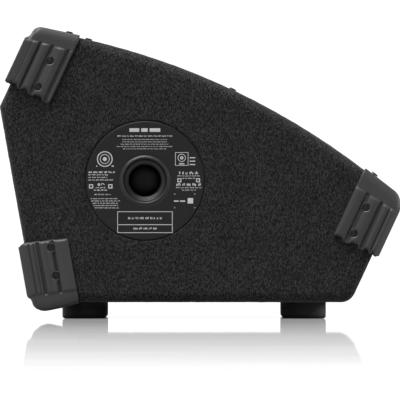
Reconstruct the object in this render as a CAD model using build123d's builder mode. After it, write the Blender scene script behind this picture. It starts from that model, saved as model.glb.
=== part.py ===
"""Active two-way stage monitor wedge: carpeted cabinet, drivers, amplifier and hardware.

Millimetres.  X runs from the rear to the nose, Y across the cabinet, Z up.  The origin is on the
floor, under the middle of the whole object.  The pole socket is in the -Y side panel and the
carrying handle in the +Y side panel.
"""

from build123d import *
from math import atan2, cos, radians, sin, sqrt, tan
import os

os.makedirs("parts", exist_ok=True)

# Cabinet, side view, measured on the outer face of the carpet
FACE_TILT = 24.9  # fall of the speaker face, and lean of the shoulder and of the nose panel
FACE_LENGTH = 460.8  # straight line from crown to nose
TOP_RADIUS = 829.6  # bulge of the top edge
NOSE_X = 228.7
NOSE_Z = 138.6
SHOULDER_LENGTH = 97.8
HEEL_X = -190.4
BASE_Z = 19.0
TOE_RADIUS = 17.0

# Cabinet, build
CABINET_WIDTH = 560.0
CARPET = 2.5
BOARD = 15.0
BAFFLE_BOARD = 18.0
EDGE_RADIUS = 8.5
BAFFLE_DEPTH = 16.0  # from the crown-to-nose line down to the baffle's front
BATTEN = 15.0
END_BATTEN = 12.0
BRACE_Y = 68.0

# Grille
GRILLE_INSET = 1.5
GRILLE_SHEET = 1.5
FOAM = 5.0
GRILLE_GAP = 0.5
GRILLE_SCREW_ANGLES = (-11.84, 0.3, 13.3)  # round the top bulge, from its middle

# Corner protectors: across from the cabinet edge, and along it from the corner
PROTECTOR_PROUD = 7.3
PROTECTOR_REACH = 49.5
PROTECTOR_LENGTH = 71.0
PROTECTOR_SIDE = 5.5  # how far it stands off the side panels
PROTECTOR_WRAP = 56.0
PROTECTOR_CAP = 11.0
PROTECTOR_SCREWS = ((30.0, 25.5), (30.0, 58.5))
FLANGE_SCREW = 37.0  # across, through the flange on the top edge
FLANGE_START = (9.0, -6.5)  # outer face of that flange
FLANGE_END = (PROTECTOR_REACH, -15.7)
GROOVES = ((11.5, 1.9), (26.2, 2.3), (45.0, 1.6))

# Feet
FOOT_RADIUS = 25.5
FOOT_XS = (-133.4, 119.8)
FOOT_Y = 197.0

# Pole socket, in the -Y side panel
SOCKET_X = -63.3
SOCKET_Z = 159.0
SOCKET_BORE = 18.0
SOCKET_MOUTH = 24.0
SOCKET_LIP = 27.5
SOCKET_FLANGE = 68.75
SOCKET_DEPTH = 84.0
SOCKET_WALL = 4.0
SOCKET_COLLAR = 26.5  # where it passes through the side panel
LABEL = 0.3

# Carrying handle, in the +Y side panel
HANDLE_X = -62.0
HANDLE_Z = 142.0
HANDLE_LENGTH = 158.0
HANDLE_HEIGHT = 84.0
HANDLE_DEPTH = 44.0
HANDLE_FLANGE = 15.0
HANDLE_WALL = 3.0
HANDLE_BAR_RADIUS = 10.0

# Woofer, about its own axis, depths from the crown-to-nose line
WOOFER_Y = -88.0
BASKET_RADIUS = 154.0
BASKET_PLATE = 4.0
CONE_RADIUS = 118.0
COIL_RADIUS = 32.0
TERMINAL_ALONG = -115.0
TERMINAL_OUT = -66.0

# Horn and compression driver
HORN_Y = 160.0
HORN_ALONG = 200.0
HORN_ACROSS = 150.0
HORN_DEPTH = 90.0
THROAT_RADIUS = 12.7
DRIVER_RADIUS = 45.0
DRIVER_LENGTH = 54.0

# Port tubes
PORT_ALONG = 168.0
PORT_Y = 34.0
PORT_RADIUS = 25.0
PORT_LENGTH = 70.0

# Amplifier panel, in the rear board: sizes across and up, depths from the carpet's outer face
PANEL_WIDTH = 300.0
PANEL_HEIGHT = 176.0
PANEL_SHEET = 2.0
RECESS_WIDTH = 270.0
RECESS_HEIGHT = 150.0
RECESS_FLOOR = 22.0
HEATSINK_X = -88.0
HEATSINK_WIDTH = 80.0
HEATSINK_HEIGHT = 132.0
FIN_COUNT = 11
FIN = 2.2
KNOBS = (("level_knob", 12.0), ("low_knob", 45.0), ("high_knob", 78.0), ("filter_knob", 111.0))
KNOB_ROW = 42.0
KNOB_RADIUS = 8.5
KNOB_HEIGHT = 13.0
SHAFT_RADIUS = 3.0
SHAFT_PLAY = 0.06
CONNECTOR_ROW = -4.0
XLR_X = 18.0
JACK_X = 55.0
LINK_X = 92.0
BUTTONS = (("filter_button", 15.0), ("input_button", -6.0))
BUTTON_X = 120.0
BUTTON_RADIUS = 3.5
INLET_X = 26.0
INLET_Y = -49.0
ROCKER_X = 82.0
ROCKER_Y = -50.0
ROCKER_WIDTH = 17.0
ROCKER_SWING = 10.0
ROCKER_HALF = 10.5
ROCKER_HOLE = 24.9
LED_X = -28.0
LED_YS = (46.0, 34.0, 22.0)
BOARD_DEPTH = 38.0
BOARD_SHEET = 1.6

HALF_WIDTH = CABINET_WIDTH / 2
SIDE_OUTER = HALF_WIDTH - CARPET  # outer face of a side board
SIDE_INNER = SIDE_OUTER - BOARD
RING = CARPET + BOARD  # carpet and board together


# ---------------------------------------------------------------- frames and outlines

tilt = radians(FACE_TILT)
DOWN_SLOPE = (cos(tilt), -sin(tilt))  # from crown to nose
OUT_OF_SLOPE = (sin(tilt), cos(tilt))
NOSE = (NOSE_X, NOSE_Z)
FACE_MIDDLE = (
    NOSE_X - DOWN_SLOPE[0] * FACE_LENGTH / 2,
    NOSE_Z - DOWN_SLOPE[1] * FACE_LENGTH / 2,
)


def on_face(along, out):
    """Side-view point, along the crown-to-nose line from its middle and out from it."""
    return (
        FACE_MIDDLE[0] + DOWN_SLOPE[0] * along + OUT_OF_SLOPE[0] * out,
        FACE_MIDDLE[1] + DOWN_SLOPE[1] * along + OUT_OF_SLOPE[1] * out,
    )


CROWN = on_face(-FACE_LENGTH / 2, 0)
BEND = on_face(-FACE_LENGTH / 2, -SHOULDER_LENGTH)
TOE = on_face(FACE_LENGTH / 2, -(NOSE_Z - BASE_Z) / cos(tilt))
HEEL = (HEEL_X, BASE_Z)
REAR_LEAN = atan2(HEEL[0] - BEND[0], BEND[1] - HEEL[1])
REAR_MIDDLE = ((HEEL[0] + BEND[0]) / 2, (HEEL[1] + BEND[1]) / 2)
BULGE = TOP_RADIUS - sqrt(TOP_RADIUS**2 - (FACE_LENGTH / 2) ** 2)
ARC_CENTRE = on_face(0, BULGE - TOP_RADIUS)

FACE_AXIS = (OUT_OF_SLOPE[0], 0, OUT_OF_SLOPE[1])
REAR_AXIS = (-cos(REAR_LEAN), 0, -sin(REAR_LEAN))


def side_view(y):
    """Plane across Y at y, facing -Y, with X to the right and Z up."""
    return Plane.XZ.offset(-y)


def face_plane(along=0.0, y=0.0, out=0.0):
    """Plane lying on the speaker face: X down the slope, Z outwards."""
    x, z = on_face(along, out)
    return Plane(
        origin=(x, y, z), x_dir=(DOWN_SLOPE[0], 0, DOWN_SLOPE[1]), z_dir=FACE_AXIS
    )


def face_section(y, along=0.0):
    """Plane through an axis of the speaker face: X along the slope, Y outwards."""
    x, z = on_face(along, 0)
    return Plane(
        origin=(x, y, z), x_dir=(DOWN_SLOPE[0], 0, DOWN_SLOPE[1]), z_dir=(0, -1, 0)
    )


def face_axis(y, along=0.0):
    x, z = on_face(along, 0)
    return Axis((x, y, z), FACE_AXIS)


def rear_plane(depth=0.0):
    """Plane on the lower rear face: X to the right of someone behind it, Y up, Z outwards."""
    return Plane(
        origin=(REAR_MIDDLE[0], 0, REAR_MIDDLE[1]), x_dir=(0, -1, 0), z_dir=REAR_AXIS
    ).offset(-depth)


def inset_corner(before, corner, after, inset):
    """Where the two sides at a corner cross once both have moved inwards by inset."""
    ends = []
    for start, end in ((before, corner), (corner, after)):
        length = sqrt((end[0] - start[0]) ** 2 + (end[1] - start[1]) ** 2)
        step = ((end[0] - start[0]) / length, (end[1] - start[1]) / length)
        ends.append(((start[0] + step[1] * inset, start[1] - step[0] * inset), step))
    (p, d), (q, e) = ends
    cross = d[0] * e[1] - d[1] * e[0]
    reach = ((q[0] - p[0]) * e[1] - (q[1] - p[1]) * e[0]) / cross
    return (p[0] + d[0] * reach, p[1] + d[1] * reach)


def corners(inset):
    """Heel, bend, crown, nose and toe of the outline pulled in by inset."""
    ring = (HEEL, BEND, CROWN, NOSE, TOE)
    return [
        inset_corner(ring[i - 1], ring[i], ring[(i + 1) % len(ring)], inset)
        for i in range(len(ring))
    ]


def outline(inset=0.0):
    """Side-view face of the cabinet, pulled in from the carpet's outer face by inset."""
    with BuildSketch() as face:
        with BuildLine():
            Polyline(NOSE, TOE, HEEL, BEND, CROWN)
            ThreePointArc(CROWN, on_face(0, BULGE), NOSE)
        make_face()
        toe = face.vertices().sort_by_distance((TOE[0], TOE[1], 0))[0]
        fillet(toe, TOE_RADIUS)
        if inset:
            offset(amount=-inset, kind=Kind.INTERSECTION)
    return face.sketch


def save(piece, name):
    piece.part.label = name
    export_step(piece.part, f"parts/{name}.step")
    return piece.part


def save_twin(part, name):
    """The same piece on the other side of the cabinet."""
    with BuildPart() as twin:
        add(mirror(part, about=Plane.XZ))
    return save(twin, name)


# ---------------------------------------------------------------- envelopes used as cutters

with BuildPart() as envelope:
    with BuildSketch(side_view(HALF_WIDTH)):
        add(outline())
    extrude(amount=CABINET_WIDTH)
    fillet(envelope.faces().filter_by(Axis.Y).edges(), EDGE_RADIUS)

with BuildPart() as core:
    with BuildSketch(side_view(SIDE_INNER)):
        add(outline(CARPET))
    extrude(amount=2 * SIDE_INNER)


def corner_frame(corner, inward, along):
    """Maps (across, along) of a corner protector to the side view."""

    def place(across, down):
        return (
            corner[0] + inward[0] * across + along[0] * down,
            corner[1] + inward[1] * across + along[1] * down,
        )

    return place


UP_REAR = (-sin(REAR_LEAN), cos(REAR_LEAN))
IN_REAR = (cos(REAR_LEAN), sin(REAR_LEAN))
DOWN_LEAN = (-OUT_OF_SLOPE[0], -OUT_OF_SLOPE[1])
UP_SLOPE = (-DOWN_SLOPE[0], -DOWN_SLOPE[1])
CORNER_FRAMES = {
    "crown": corner_frame(CROWN, DOWN_SLOPE, DOWN_LEAN),
    "nose": corner_frame(NOSE, UP_SLOPE, DOWN_LEAN),
    "heel": corner_frame(HEEL, IN_REAR, UP_REAR),
}


# ---------------------------------------------------------------- fasteners


def screw_along(origin, direction, head_radius, head_height, shank_radius, length):
    """A pan head screw: the head stands on origin, the shank runs the other way."""
    seat = Plane(origin=origin, z_dir=direction)
    with BuildSketch(seat) as head:
        Circle(head_radius)
    extrude(head.sketch, amount=head_height)
    with BuildSketch(seat) as shank:
        Circle(shank_radius)
    extrude(shank.sketch, amount=-length)


def flange_screw_seat(place):
    """Side-view point on a protector's top flange, and the direction out of it."""
    (start_across, start_down), (end_across, end_down) = FLANGE_START, FLANGE_END
    fall = (end_down - start_down) / (end_across - start_across)
    x, z = place(FLANGE_SCREW, start_down + fall * (FLANGE_SCREW - start_across))
    inner = place(FLANGE_SCREW + fall, start_down + fall * (FLANGE_SCREW - start_across) - 1)
    return (x, z), (inner[0] - x, 0, inner[1] - z)


def protector_screws():
    """Two through the side of each protector and one through its top or bottom flange."""
    head, shank, length = 4.0, 2.0, 17.0
    seat = HALF_WIDTH + PROTECTOR_SIDE - 2.6
    with BuildPart() as screws:
        for kind, place in CORNER_FRAMES.items():
            for across, down in PROTECTOR_SCREWS:
                x, z = place(across, down)
                for side in (-1, 1):
                    screw_along((x, side * seat, z), (0, side, 0), head, 2.0, shank, length)
            if kind != "heel":
                (x, z), outwards = flange_screw_seat(place)
                for side in (-1, 1):
                    origin = (x, side * (SIDE_INNER + BOARD / 2), z)
                    screw_along(origin, outwards, head, 1.8, shank, length)
    return save(screws, "corner_screws")


corner_screws = protector_screws()


def foot_places():
    return [(x, side * FOOT_Y) for x in FOOT_XS for side in (-1, 1)]


def socket_screw_places(radius=52.0):
    return [
        (SOCKET_X + radius * cos(radians(a)), SOCKET_Z + radius * sin(radians(a)))
        for a in (45, 135, 225, 315)
    ]


def handle_screw_places():
    across = HANDLE_LENGTH / 2 + HANDLE_FLANGE / 2
    up = HANDLE_HEIGHT / 2 + HANDLE_FLANGE / 2
    return [(HANDLE_X + i * across, HANDLE_Z + j * up) for i in (-1, 1) for j in (-1, 1)]


def wood_screws():
    """The screws that hold the feet, the pole socket and the handle to the boards."""
    head, head_height, shank, length = 4.2, 2.0, 2.0, 12.0
    with BuildPart() as screws:
        for x, y in foot_places():
            screw_along((x, y, 11.0), (0, 0, -1), 5.0, 2.5, shank, 20.0)
        for x, z in socket_screw_places():
            screw_along((x, -SIDE_OUTER, z), (0, -1, 0), head, 1.6, shank, length)
        for x, z in handle_screw_places():
            screw_along((x, SIDE_OUTER + CARPET, z), (0, 1, 0), head, head_height, shank, length)
    return save(screws, "wood_screws")


wood_screw_set = wood_screws()


def panel_screw_places():
    across = PANEL_WIDTH / 2 - 7
    up = PANEL_HEIGHT / 2 - 6
    return [(i * across, j * up) for i in (-1, 0, 1) for j in (-1, 1)]


def xlr_screw_places():
    return [
        (x + i * 9.5, CONNECTOR_ROW + i * 12) for x in (XLR_X, LINK_X) for i in (-1, 1)
    ]


def panel_screws():
    """Screws round the amplifier panel's flange and through the two round connectors."""
    with BuildPart() as screws:
        for places, depth, radius, shank in (
            (panel_screw_places(), 0.5, 3.6, 15.0),
            (xlr_screw_places(), RECESS_FLOOR - 2.0, 2.6, 6.0),
        ):
            with BuildSketch(rear_plane(depth)):
                with Locations(*places):
                    Circle(radius)
            extrude(amount=1.6)
            with BuildSketch(rear_plane(depth)):
                with Locations(*places):
                    Circle(radius / 2)
            extrude(amount=-shank)
    return save(screws, "panel_screws")


panel_screw_set = panel_screws()


# ---------------------------------------------------------------- cabinet boards and carpet


def side_board():
    with BuildPart() as board:
        with BuildSketch(side_view(-SIDE_INNER)):
            add(outline(CARPET))
        extrude(amount=BOARD)
        outer = board.faces().filter_by(Axis.Y).sort_by(Axis.Y)[0]
        fillet(outer.edges(), EDGE_RADIUS - CARPET)
    return board.part


def cut_socket_opening(radius):
    with BuildSketch(Plane(origin=(SOCKET_X, -HALF_WIDTH - 1, SOCKET_Z), z_dir=(0, 1, 0))) as hole:
        Circle(radius)
    extrude(hole.sketch, amount=RING + 2, mode=Mode.SUBTRACT)


def handle_plane(depth=0.0):
    """Plane on the +Y side face: X towards the rear, Y up, Z outwards."""
    return Plane(
        origin=(HANDLE_X, HALF_WIDTH - depth, HANDLE_Z), x_dir=(-1, 0, 0), z_dir=(0, 1, 0)
    )


def cut_handle_opening(margin, radius):
    with BuildSketch(handle_plane(RING + 1)) as window:
        RectangleRounded(HANDLE_LENGTH + 2 * margin, HANDLE_HEIGHT + 2 * margin, radius)
    extrude(window.sketch, amount=RING + 2, mode=Mode.SUBTRACT)


def make_side_panels():
    blank = side_board()
    with BuildPart() as socket_side:
        add(blank)
        cut_socket_opening(SOCKET_COLLAR + 0.5)
        add(corner_screws, mode=Mode.SUBTRACT)
        add(wood_screw_set, mode=Mode.SUBTRACT)
    save(socket_side, "side_panel_socket")
    with BuildPart() as handle_side:
        add(mirror(blank, about=Plane.XZ))
        cut_handle_opening(HANDLE_WALL + 0.5, 12)
        add(corner_screws, mode=Mode.SUBTRACT)
        add(wood_screw_set, mode=Mode.SUBTRACT)
    save(handle_side, "side_panel_handle")
    return blank


side_blank = make_side_panels()


def carpet_blank(side):
    """Carpet over a side panel: its face, its rounded edge and the band round it."""
    with BuildPart() as skin:
        add(envelope.part)
        with BuildSketch(side_view(side * HALF_WIDTH + (RING if side < 0 else 0))):
            Rectangle(1000, 1000)
        extrude(amount=RING, mode=Mode.INTERSECT)
        add(side_blank if side < 0 else mirror(side_blank, about=Plane.XZ), mode=Mode.SUBTRACT)
        add(corner_screws, mode=Mode.SUBTRACT)
    return skin.part


def make_side_carpets():
    with BuildPart() as socket_side:
        add(carpet_blank(-1))
        cut_socket_opening(SOCKET_FLANGE + 0.8)
    save(socket_side, "carpet_socket_side")
    with BuildPart() as handle_side:
        add(carpet_blank(1))
        cut_handle_opening(HANDLE_FLANGE + 0.8, 16)
        add(wood_screw_set, mode=Mode.SUBTRACT)
    save(handle_side, "carpet_handle_side")


make_side_carpets()


def board_between(points, half_width=SIDE_INNER):
    """A board with the given side-view corners, across the inside of the cabinet."""
    with BuildSketch(side_view(half_width)) as end:
        Polygon(*points, align=None)
    extrude(end.sketch, amount=2 * half_width)


def panel_window(width, height, radius):
    with BuildSketch(rear_plane(RING + 5)) as window:
        RectangleRounded(width, height, radius)
    extrude(window.sketch, amount=RING + 10, mode=Mode.SUBTRACT)


def make_boards():
    heel, bend, crown, nose, toe = corners(CARPET)
    heel_in, bend_in, crown_in, nose_in, toe_in = corners(RING)
    past = 20.0  # shoulder and nose boards run on to the bulge of the top
    lift = (OUT_OF_SLOPE[0] * past, OUT_OF_SLOPE[1] * past)
    with BuildPart() as bottom:
        board_between((heel, toe, toe_in, heel_in))
        add(core.part, mode=Mode.INTERSECT)
        add(wood_screw_set, mode=Mode.SUBTRACT)
    save(bottom, "bottom_panel")
    with BuildPart() as rear:
        board_between((heel, heel_in, bend_in, bend))
        panel_window(RECESS_WIDTH + 6, RECESS_HEIGHT + 6, 6)
        add(panel_screw_set, mode=Mode.SUBTRACT)
    save(rear, "rear_panel")
    with BuildPart() as shoulder:
        top = (crown[0] + lift[0], crown[1] + lift[1])
        top_in = (crown_in[0] + lift[0], crown_in[1] + lift[1])
        board_between((bend, bend_in, top_in, top))
        add(core.part, mode=Mode.INTERSECT)
    save(shoulder, "shoulder_panel")
    with BuildPart() as front:
        top = (nose[0] + lift[0], nose[1] + lift[1])
        top_in = (nose_in[0] + lift[0], nose_in[1] + lift[1])
        board_between((toe_in, toe, top, top_in))
        add(core.part, mode=Mode.INTERSECT)
    save(front, "front_panel")


make_boards()

INSIDE_LENGTH = FACE_LENGTH - 2 * RING  # between the shoulder board and the nose board


def make_wrap_carpet():
    """Carpet over the bottom, rear, shoulder and nose boards, turned over the top ends."""
    with BuildPart() as wrap:
        with BuildSketch(side_view(SIDE_INNER)):
            add(outline())
            add(outline(CARPET), mode=Mode.SUBTRACT)
        extrude(amount=2 * SIDE_INNER)
        with BuildSketch(face_plane(out=1)):
            Rectangle(INSIDE_LENGTH, CABINET_WIDTH)
        extrude(amount=BULGE, mode=Mode.SUBTRACT)
        panel_window(PANEL_WIDTH + 1, PANEL_HEIGHT + 1, 8)
        with BuildSketch(Plane.XY.offset(BASE_Z - 1)):
            with Locations(*foot_places()):
                Circle(2.0)
        extrude(amount=CARPET + 2, mode=Mode.SUBTRACT)
    save(wrap, "carpet_wrap")


make_wrap_carpet()


def make_baffle():
    port_places = [(side * PORT_ALONG, PORT_Y) for side in (-1, 1)]
    with BuildPart() as baffle:
        with BuildSketch(face_plane(out=-BAFFLE_DEPTH)):
            Rectangle(INSIDE_LENGTH, 2 * SIDE_INNER)
            with Locations((0, WOOFER_Y)):
                Circle(BASKET_RADIUS - 14, mode=Mode.SUBTRACT)
            with Locations((0, HORN_Y)):
                Rectangle(HORN_ALONG - 24, HORN_ACROSS - 24, mode=Mode.SUBTRACT)
            with Locations(*port_places):
                Circle(PORT_RADIUS + 3.3, mode=Mode.SUBTRACT)
        extrude(amount=-BAFFLE_BOARD)
        add(driver_screw_set, mode=Mode.SUBTRACT)
    save(baffle, "baffle")


def woofer_screw_places(radius=147.0, count=8):
    turn = 360 / count
    return [
        (radius * cos(radians(turn * (i + 0.5))), WOOFER_Y + radius * sin(radians(turn * (i + 0.5))))
        for i in range(count)
    ]


def horn_screw_places():
    along = HORN_ALONG / 2 - 6
    across = HORN_ACROSS / 2 - 6
    return [(i * along, HORN_Y + j * across) for i in (-1, 0, 1) for j in (-1, 1)]


def driver_screws():
    """The machine screws that hold the woofer and the horn to the baffle."""
    with BuildPart() as screws:
        for along, y in woofer_screw_places() + horn_screw_places():
            seat = face_plane(along, y, BASKET_PLATE - BAFFLE_DEPTH)
            with BuildSketch(seat):
                Circle(4.5)
            extrude(amount=3.5)
            with BuildSketch(seat.offset(3.5)):
                RegularPolygon(2.2, 6)
            extrude(amount=-2.0, mode=Mode.SUBTRACT)
            with BuildSketch(seat):
                Circle(2.5)
            extrude(amount=-BASKET_PLATE - 16)
    return save(screws, "driver_screws")


driver_screw_set = driver_screws()
make_baffle()


def make_brace():
    """Window brace between the bottom board and the baffle, beside the woofer."""
    floor = BASE_Z + RING
    under = -BAFFLE_DEPTH - BAFFLE_BOARD
    rear_x, front_x = -104.0, 150.0
    rear_top = on_face(rear_x, under)
    front_top = on_face(front_x, under)
    with BuildPart() as brace:
        with BuildSketch(side_view(BRACE_Y + BOARD)):
            Polygon(
                (rear_x, floor), (front_x, floor), front_top, rear_top, (rear_x, rear_top[1] - 20),
                align=None,
            )
            with Locations((-34, 142)):
                RectangleRounded(100, 118, 20, mode=Mode.SUBTRACT)
            with Locations((82, 98)):
                RectangleRounded(66, 66, 20, mode=Mode.SUBTRACT)
        extrude(amount=BOARD)
    save(brace, "brace")


make_brace()


# ---------------------------------------------------------------- grille


def band_sketch(outer, inner, half_length):
    """Side-view strip that follows the bulge of the top between two insets."""
    with BuildSketch() as strip:
        add(outline(outer))
        add(outline(inner), mode=Mode.SUBTRACT)
        Polygon(
            on_face(-half_length, 2), on_face(-half_length, 60),
            on_face(half_length, 60), on_face(half_length, 2),
            align=None, mode=Mode.INTERSECT,
        )
    return strip.sketch


def grille_screw_places():
    """Side-view point on the grille's outer face, and the outward direction there."""
    for angle in GRILLE_SCREW_ANGLES:
        lean = radians(FACE_TILT + angle)
        reach = TOP_RADIUS - GRILLE_INSET
        point = (ARC_CENTRE[0] + reach * sin(lean), ARC_CENTRE[1] + reach * cos(lean))
        yield point, (sin(lean), 0, cos(lean))


def grille_screws():
    with BuildPart() as screws:
        for (x, z), direction in grille_screw_places():
            for side in (-1, 1):
                origin = (x, side * (SIDE_INNER - BATTEN / 2), z)
                screw_along(origin, direction, 6.5, 1.6, 2.0, 15.0)
                screw_along(origin, direction, 4.2, 3.4, 2.0, 15.0)
    return save(screws, "grille_screws")


grille_screw_set = grille_screws()


def make_grille():
    length = INSIDE_LENGTH / 2 - GRILLE_GAP
    with BuildPart() as grille:
        with BuildSketch(side_view(SIDE_INNER - GRILLE_GAP)):
            add(band_sketch(GRILLE_INSET, GRILLE_INSET + GRILLE_SHEET, length))
        extrude(amount=2 * (SIDE_INNER - GRILLE_GAP))
        add(grille_screw_set, mode=Mode.SUBTRACT)
    save(grille, "grille")
    foam_half = SIDE_INNER - BATTEN - GRILLE_GAP
    foam_top = GRILLE_INSET + GRILLE_SHEET
    with BuildPart() as foam:
        with BuildSketch(side_view(foam_half)):
            add(band_sketch(foam_top, foam_top + FOAM, length - END_BATTEN))
        extrude(amount=2 * foam_half)
    save(foam, "grille_foam")


make_grille()


def make_battens():
    """Frame of battens round the inside of the speaker face, which the grille screws into."""
    length = INSIDE_LENGTH / 2
    under = -BAFFLE_DEPTH
    with BuildPart() as battens:
        with BuildSketch(side_view(SIDE_INNER)):
            add(outline(GRILLE_INSET + GRILLE_SHEET))
            Polygon(
                on_face(-length, under), on_face(-length, 60),
                on_face(length, 60), on_face(length, under),
                align=None, mode=Mode.INTERSECT,
            )
        extrude(amount=2 * SIDE_INNER)
        with BuildSketch(face_plane(out=under)):
            Rectangle(2 * (length - END_BATTEN), 2 * (SIDE_INNER - BATTEN))
        extrude(amount=BULGE - under, mode=Mode.SUBTRACT)
        add(grille_screw_set, mode=Mode.SUBTRACT)
    save(battens, "grille_frame")


make_battens()


# ---------------------------------------------------------------- corner protectors


def protector_outline(kind):
    """Side view of a protector as (across, along) points, from the cabinet's corner."""
    wide, proud, long = PROTECTOR_REACH, -PROTECTOR_PROUD, PROTECTOR_LENGTH
    if kind == "heel":
        return (
            (proud, 4.0), (proud, long - 6), (-1.0, long - 2), (wide, long - 5),
            (wide, -10.3), (8.5, -12.2), (-1.5, -1.0),
        )
    return ((proud, 12.0), (proud, long - 4), (wide, long), FLANGE_END, FLANGE_START, (3.5, -5.6))


def protector_corner(kind):
    """How far the corner of each outline is rounded."""
    return 5.0 if kind == "heel" else 6.0


def make_protector(kind):
    """Moulded corner: a ribbed plate on the side panel, wrapped over the two cabinet edges."""
    place = CORNER_FRAMES[kind]
    outer = HALF_WIDTH + PROTECTOR_SIDE
    across_start = place(0, PROTECTOR_CAP)
    across_end = place(0, PROTECTOR_LENGTH + 5)
    rib = (across_end[0] - across_start[0], 0, across_end[1] - across_start[1])
    rib_length = PROTECTOR_LENGTH + 5 - PROTECTOR_CAP
    with BuildPart() as protector:
        with BuildSketch(side_view(-outer + PROTECTOR_SIDE + PROTECTOR_WRAP)) as shape:
            Polygon(*[place(*point) for point in protector_outline(kind)], align=None)
            tip = place(*protector_outline(kind)[-1])
            fillet(shape.vertices().sort_by_distance((tip[0], tip[1], 0))[0], protector_corner(kind))
        extrude(amount=PROTECTOR_SIDE + PROTECTOR_WRAP)
        side_face = protector.faces().filter_by(Axis.Y).sort_by(Axis.Y)[0]
        chamfer(side_face.edges(), 1.4)
        add(envelope.part, mode=Mode.SUBTRACT)
        for across, radius in GROOVES:
            x, z = place(across, PROTECTOR_CAP)
            with BuildSketch(Plane(origin=(x, -outer, z), z_dir=rib)):
                Circle(radius)
            extrude(amount=rib_length, mode=Mode.SUBTRACT)
        if kind != "heel":
            with BuildSketch(face_plane(out=-1)):
                Rectangle(FACE_LENGTH - 2 * RING, 2 * SIDE_INNER)
            extrude(amount=80, mode=Mode.SUBTRACT)
        for across, down in PROTECTOR_SCREWS:
            x, z = place(across, down)
            with BuildSketch(Plane(origin=(x, -outer, z), z_dir=(0, 1, 0))):
                Circle(4.8)
            extrude(amount=2.6, mode=Mode.SUBTRACT)
        add(corner_screws, mode=Mode.SUBTRACT)
    save(protector, f"{kind}_protector_socket_side")
    save_twin(protector.part, f"{kind}_protector_handle_side")


for corner in CORNER_FRAMES:
    make_protector(corner)


# ---------------------------------------------------------------- feet


def make_feet():
    """Round rubber feet, each with a well for its screw."""
    with BuildPart() as feet:
        with BuildSketch(Plane.XY):
            with Locations(*foot_places()):
                Circle(FOOT_RADIUS)
        extrude(amount=BASE_Z)
        chamfer(feet.faces().sort_by(Axis.Z)[0:4].edges(), 1.8)
        with BuildSketch(Plane.XY):
            with Locations(*foot_places()):
                Circle(8.0)
        extrude(amount=11.0, mode=Mode.SUBTRACT)
        add(wood_screw_set, mode=Mode.SUBTRACT)
    save(feet, "rubber_feet")


make_feet()


# ---------------------------------------------------------------- pole socket


def make_pole_socket():
    """Moulded cup: flange in the carpet's thickness, raised lip, tapered mouth, blind bore."""
    mouth = -HALF_WIDTH
    lip = 1.6
    depth = SOCKET_DEPTH
    wall = SOCKET_BORE + SOCKET_WALL
    taper = SOCKET_MOUTH - SOCKET_BORE
    section = Plane(origin=(SOCKET_X, mouth, SOCKET_Z), x_dir=(1, 0, 0), z_dir=(0, 0, 1))
    with BuildPart() as cup:
        with BuildSketch(section):
            with BuildLine():
                Polyline(
                    (0, depth + SOCKET_WALL), (wall, depth + SOCKET_WALL), (wall, RING + 6),
                    (SOCKET_COLLAR, RING), (SOCKET_COLLAR, CARPET), (SOCKET_FLANGE, CARPET),
                    (SOCKET_FLANGE, LABEL), (SOCKET_LIP, LABEL),
                    (SOCKET_LIP, -lip + 0.6), (SOCKET_LIP - 0.6, -lip), (SOCKET_MOUTH, -lip),
                    (SOCKET_MOUTH, 2), (SOCKET_BORE, 2 + taper), (SOCKET_BORE, depth), (0, depth),
                    close=True,
                )
            make_face()
        revolve(axis=Axis((SOCKET_X, mouth, SOCKET_Z), (0, 1, 0)))
        add(wood_screw_set, mode=Mode.SUBTRACT)
    save(cup, "pole_socket")
    with BuildPart() as label:
        with BuildSketch(Plane(origin=(SOCKET_X, mouth, SOCKET_Z), z_dir=(0, 1, 0))):
            Circle(SOCKET_FLANGE - 1.0)
            Circle(SOCKET_LIP + 0.3, mode=Mode.SUBTRACT)
        extrude(amount=LABEL)
    save(label, "socket_label")


make_pole_socket()


# ---------------------------------------------------------------- carrying handle


def make_handle():
    """Moulded handle: a pocket let into the side panel with a bar across it."""
    with BuildPart() as handle:
        with BuildSketch(handle_plane(CARPET)):
            RectangleRounded(
                HANDLE_LENGTH + 2 * HANDLE_FLANGE, HANDLE_HEIGHT + 2 * HANDLE_FLANGE, 15
            )
        extrude(amount=CARPET)
        with BuildSketch(handle_plane(HANDLE_DEPTH + HANDLE_WALL)):
            RectangleRounded(HANDLE_LENGTH + 2 * HANDLE_WALL, HANDLE_HEIGHT + 2 * HANDLE_WALL, 11)
        extrude(amount=HANDLE_DEPTH + HANDLE_WALL)
        with BuildSketch(handle_plane(HANDLE_DEPTH)):
            RectangleRounded(HANDLE_LENGTH, HANDLE_HEIGHT, 8)
        extrude(amount=HANDLE_DEPTH + 1, mode=Mode.SUBTRACT)
        bar_end = Plane(
            origin=(HANDLE_X - HANDLE_LENGTH / 2 - 1, HALF_WIDTH - HANDLE_BAR_RADIUS - 1, HANDLE_Z + 12),
            z_dir=(1, 0, 0),
        )
        with BuildSketch(bar_end):
            Circle(HANDLE_BAR_RADIUS)
        extrude(amount=HANDLE_LENGTH + 2)
        add(wood_screw_set, mode=Mode.SUBTRACT)
    save(handle, "handle")


make_handle()


# ---------------------------------------------------------------- woofer


def revolved(points, y, name, along=0.0):
    """A turned piece about an axis of the speaker face, from (radius, out) points."""
    with BuildPart() as turned:
        with BuildSketch(face_section(y, along)):
            Polygon(*points, align=None)
        revolve(axis=face_axis(y, along))
    return save(turned, name)


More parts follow.
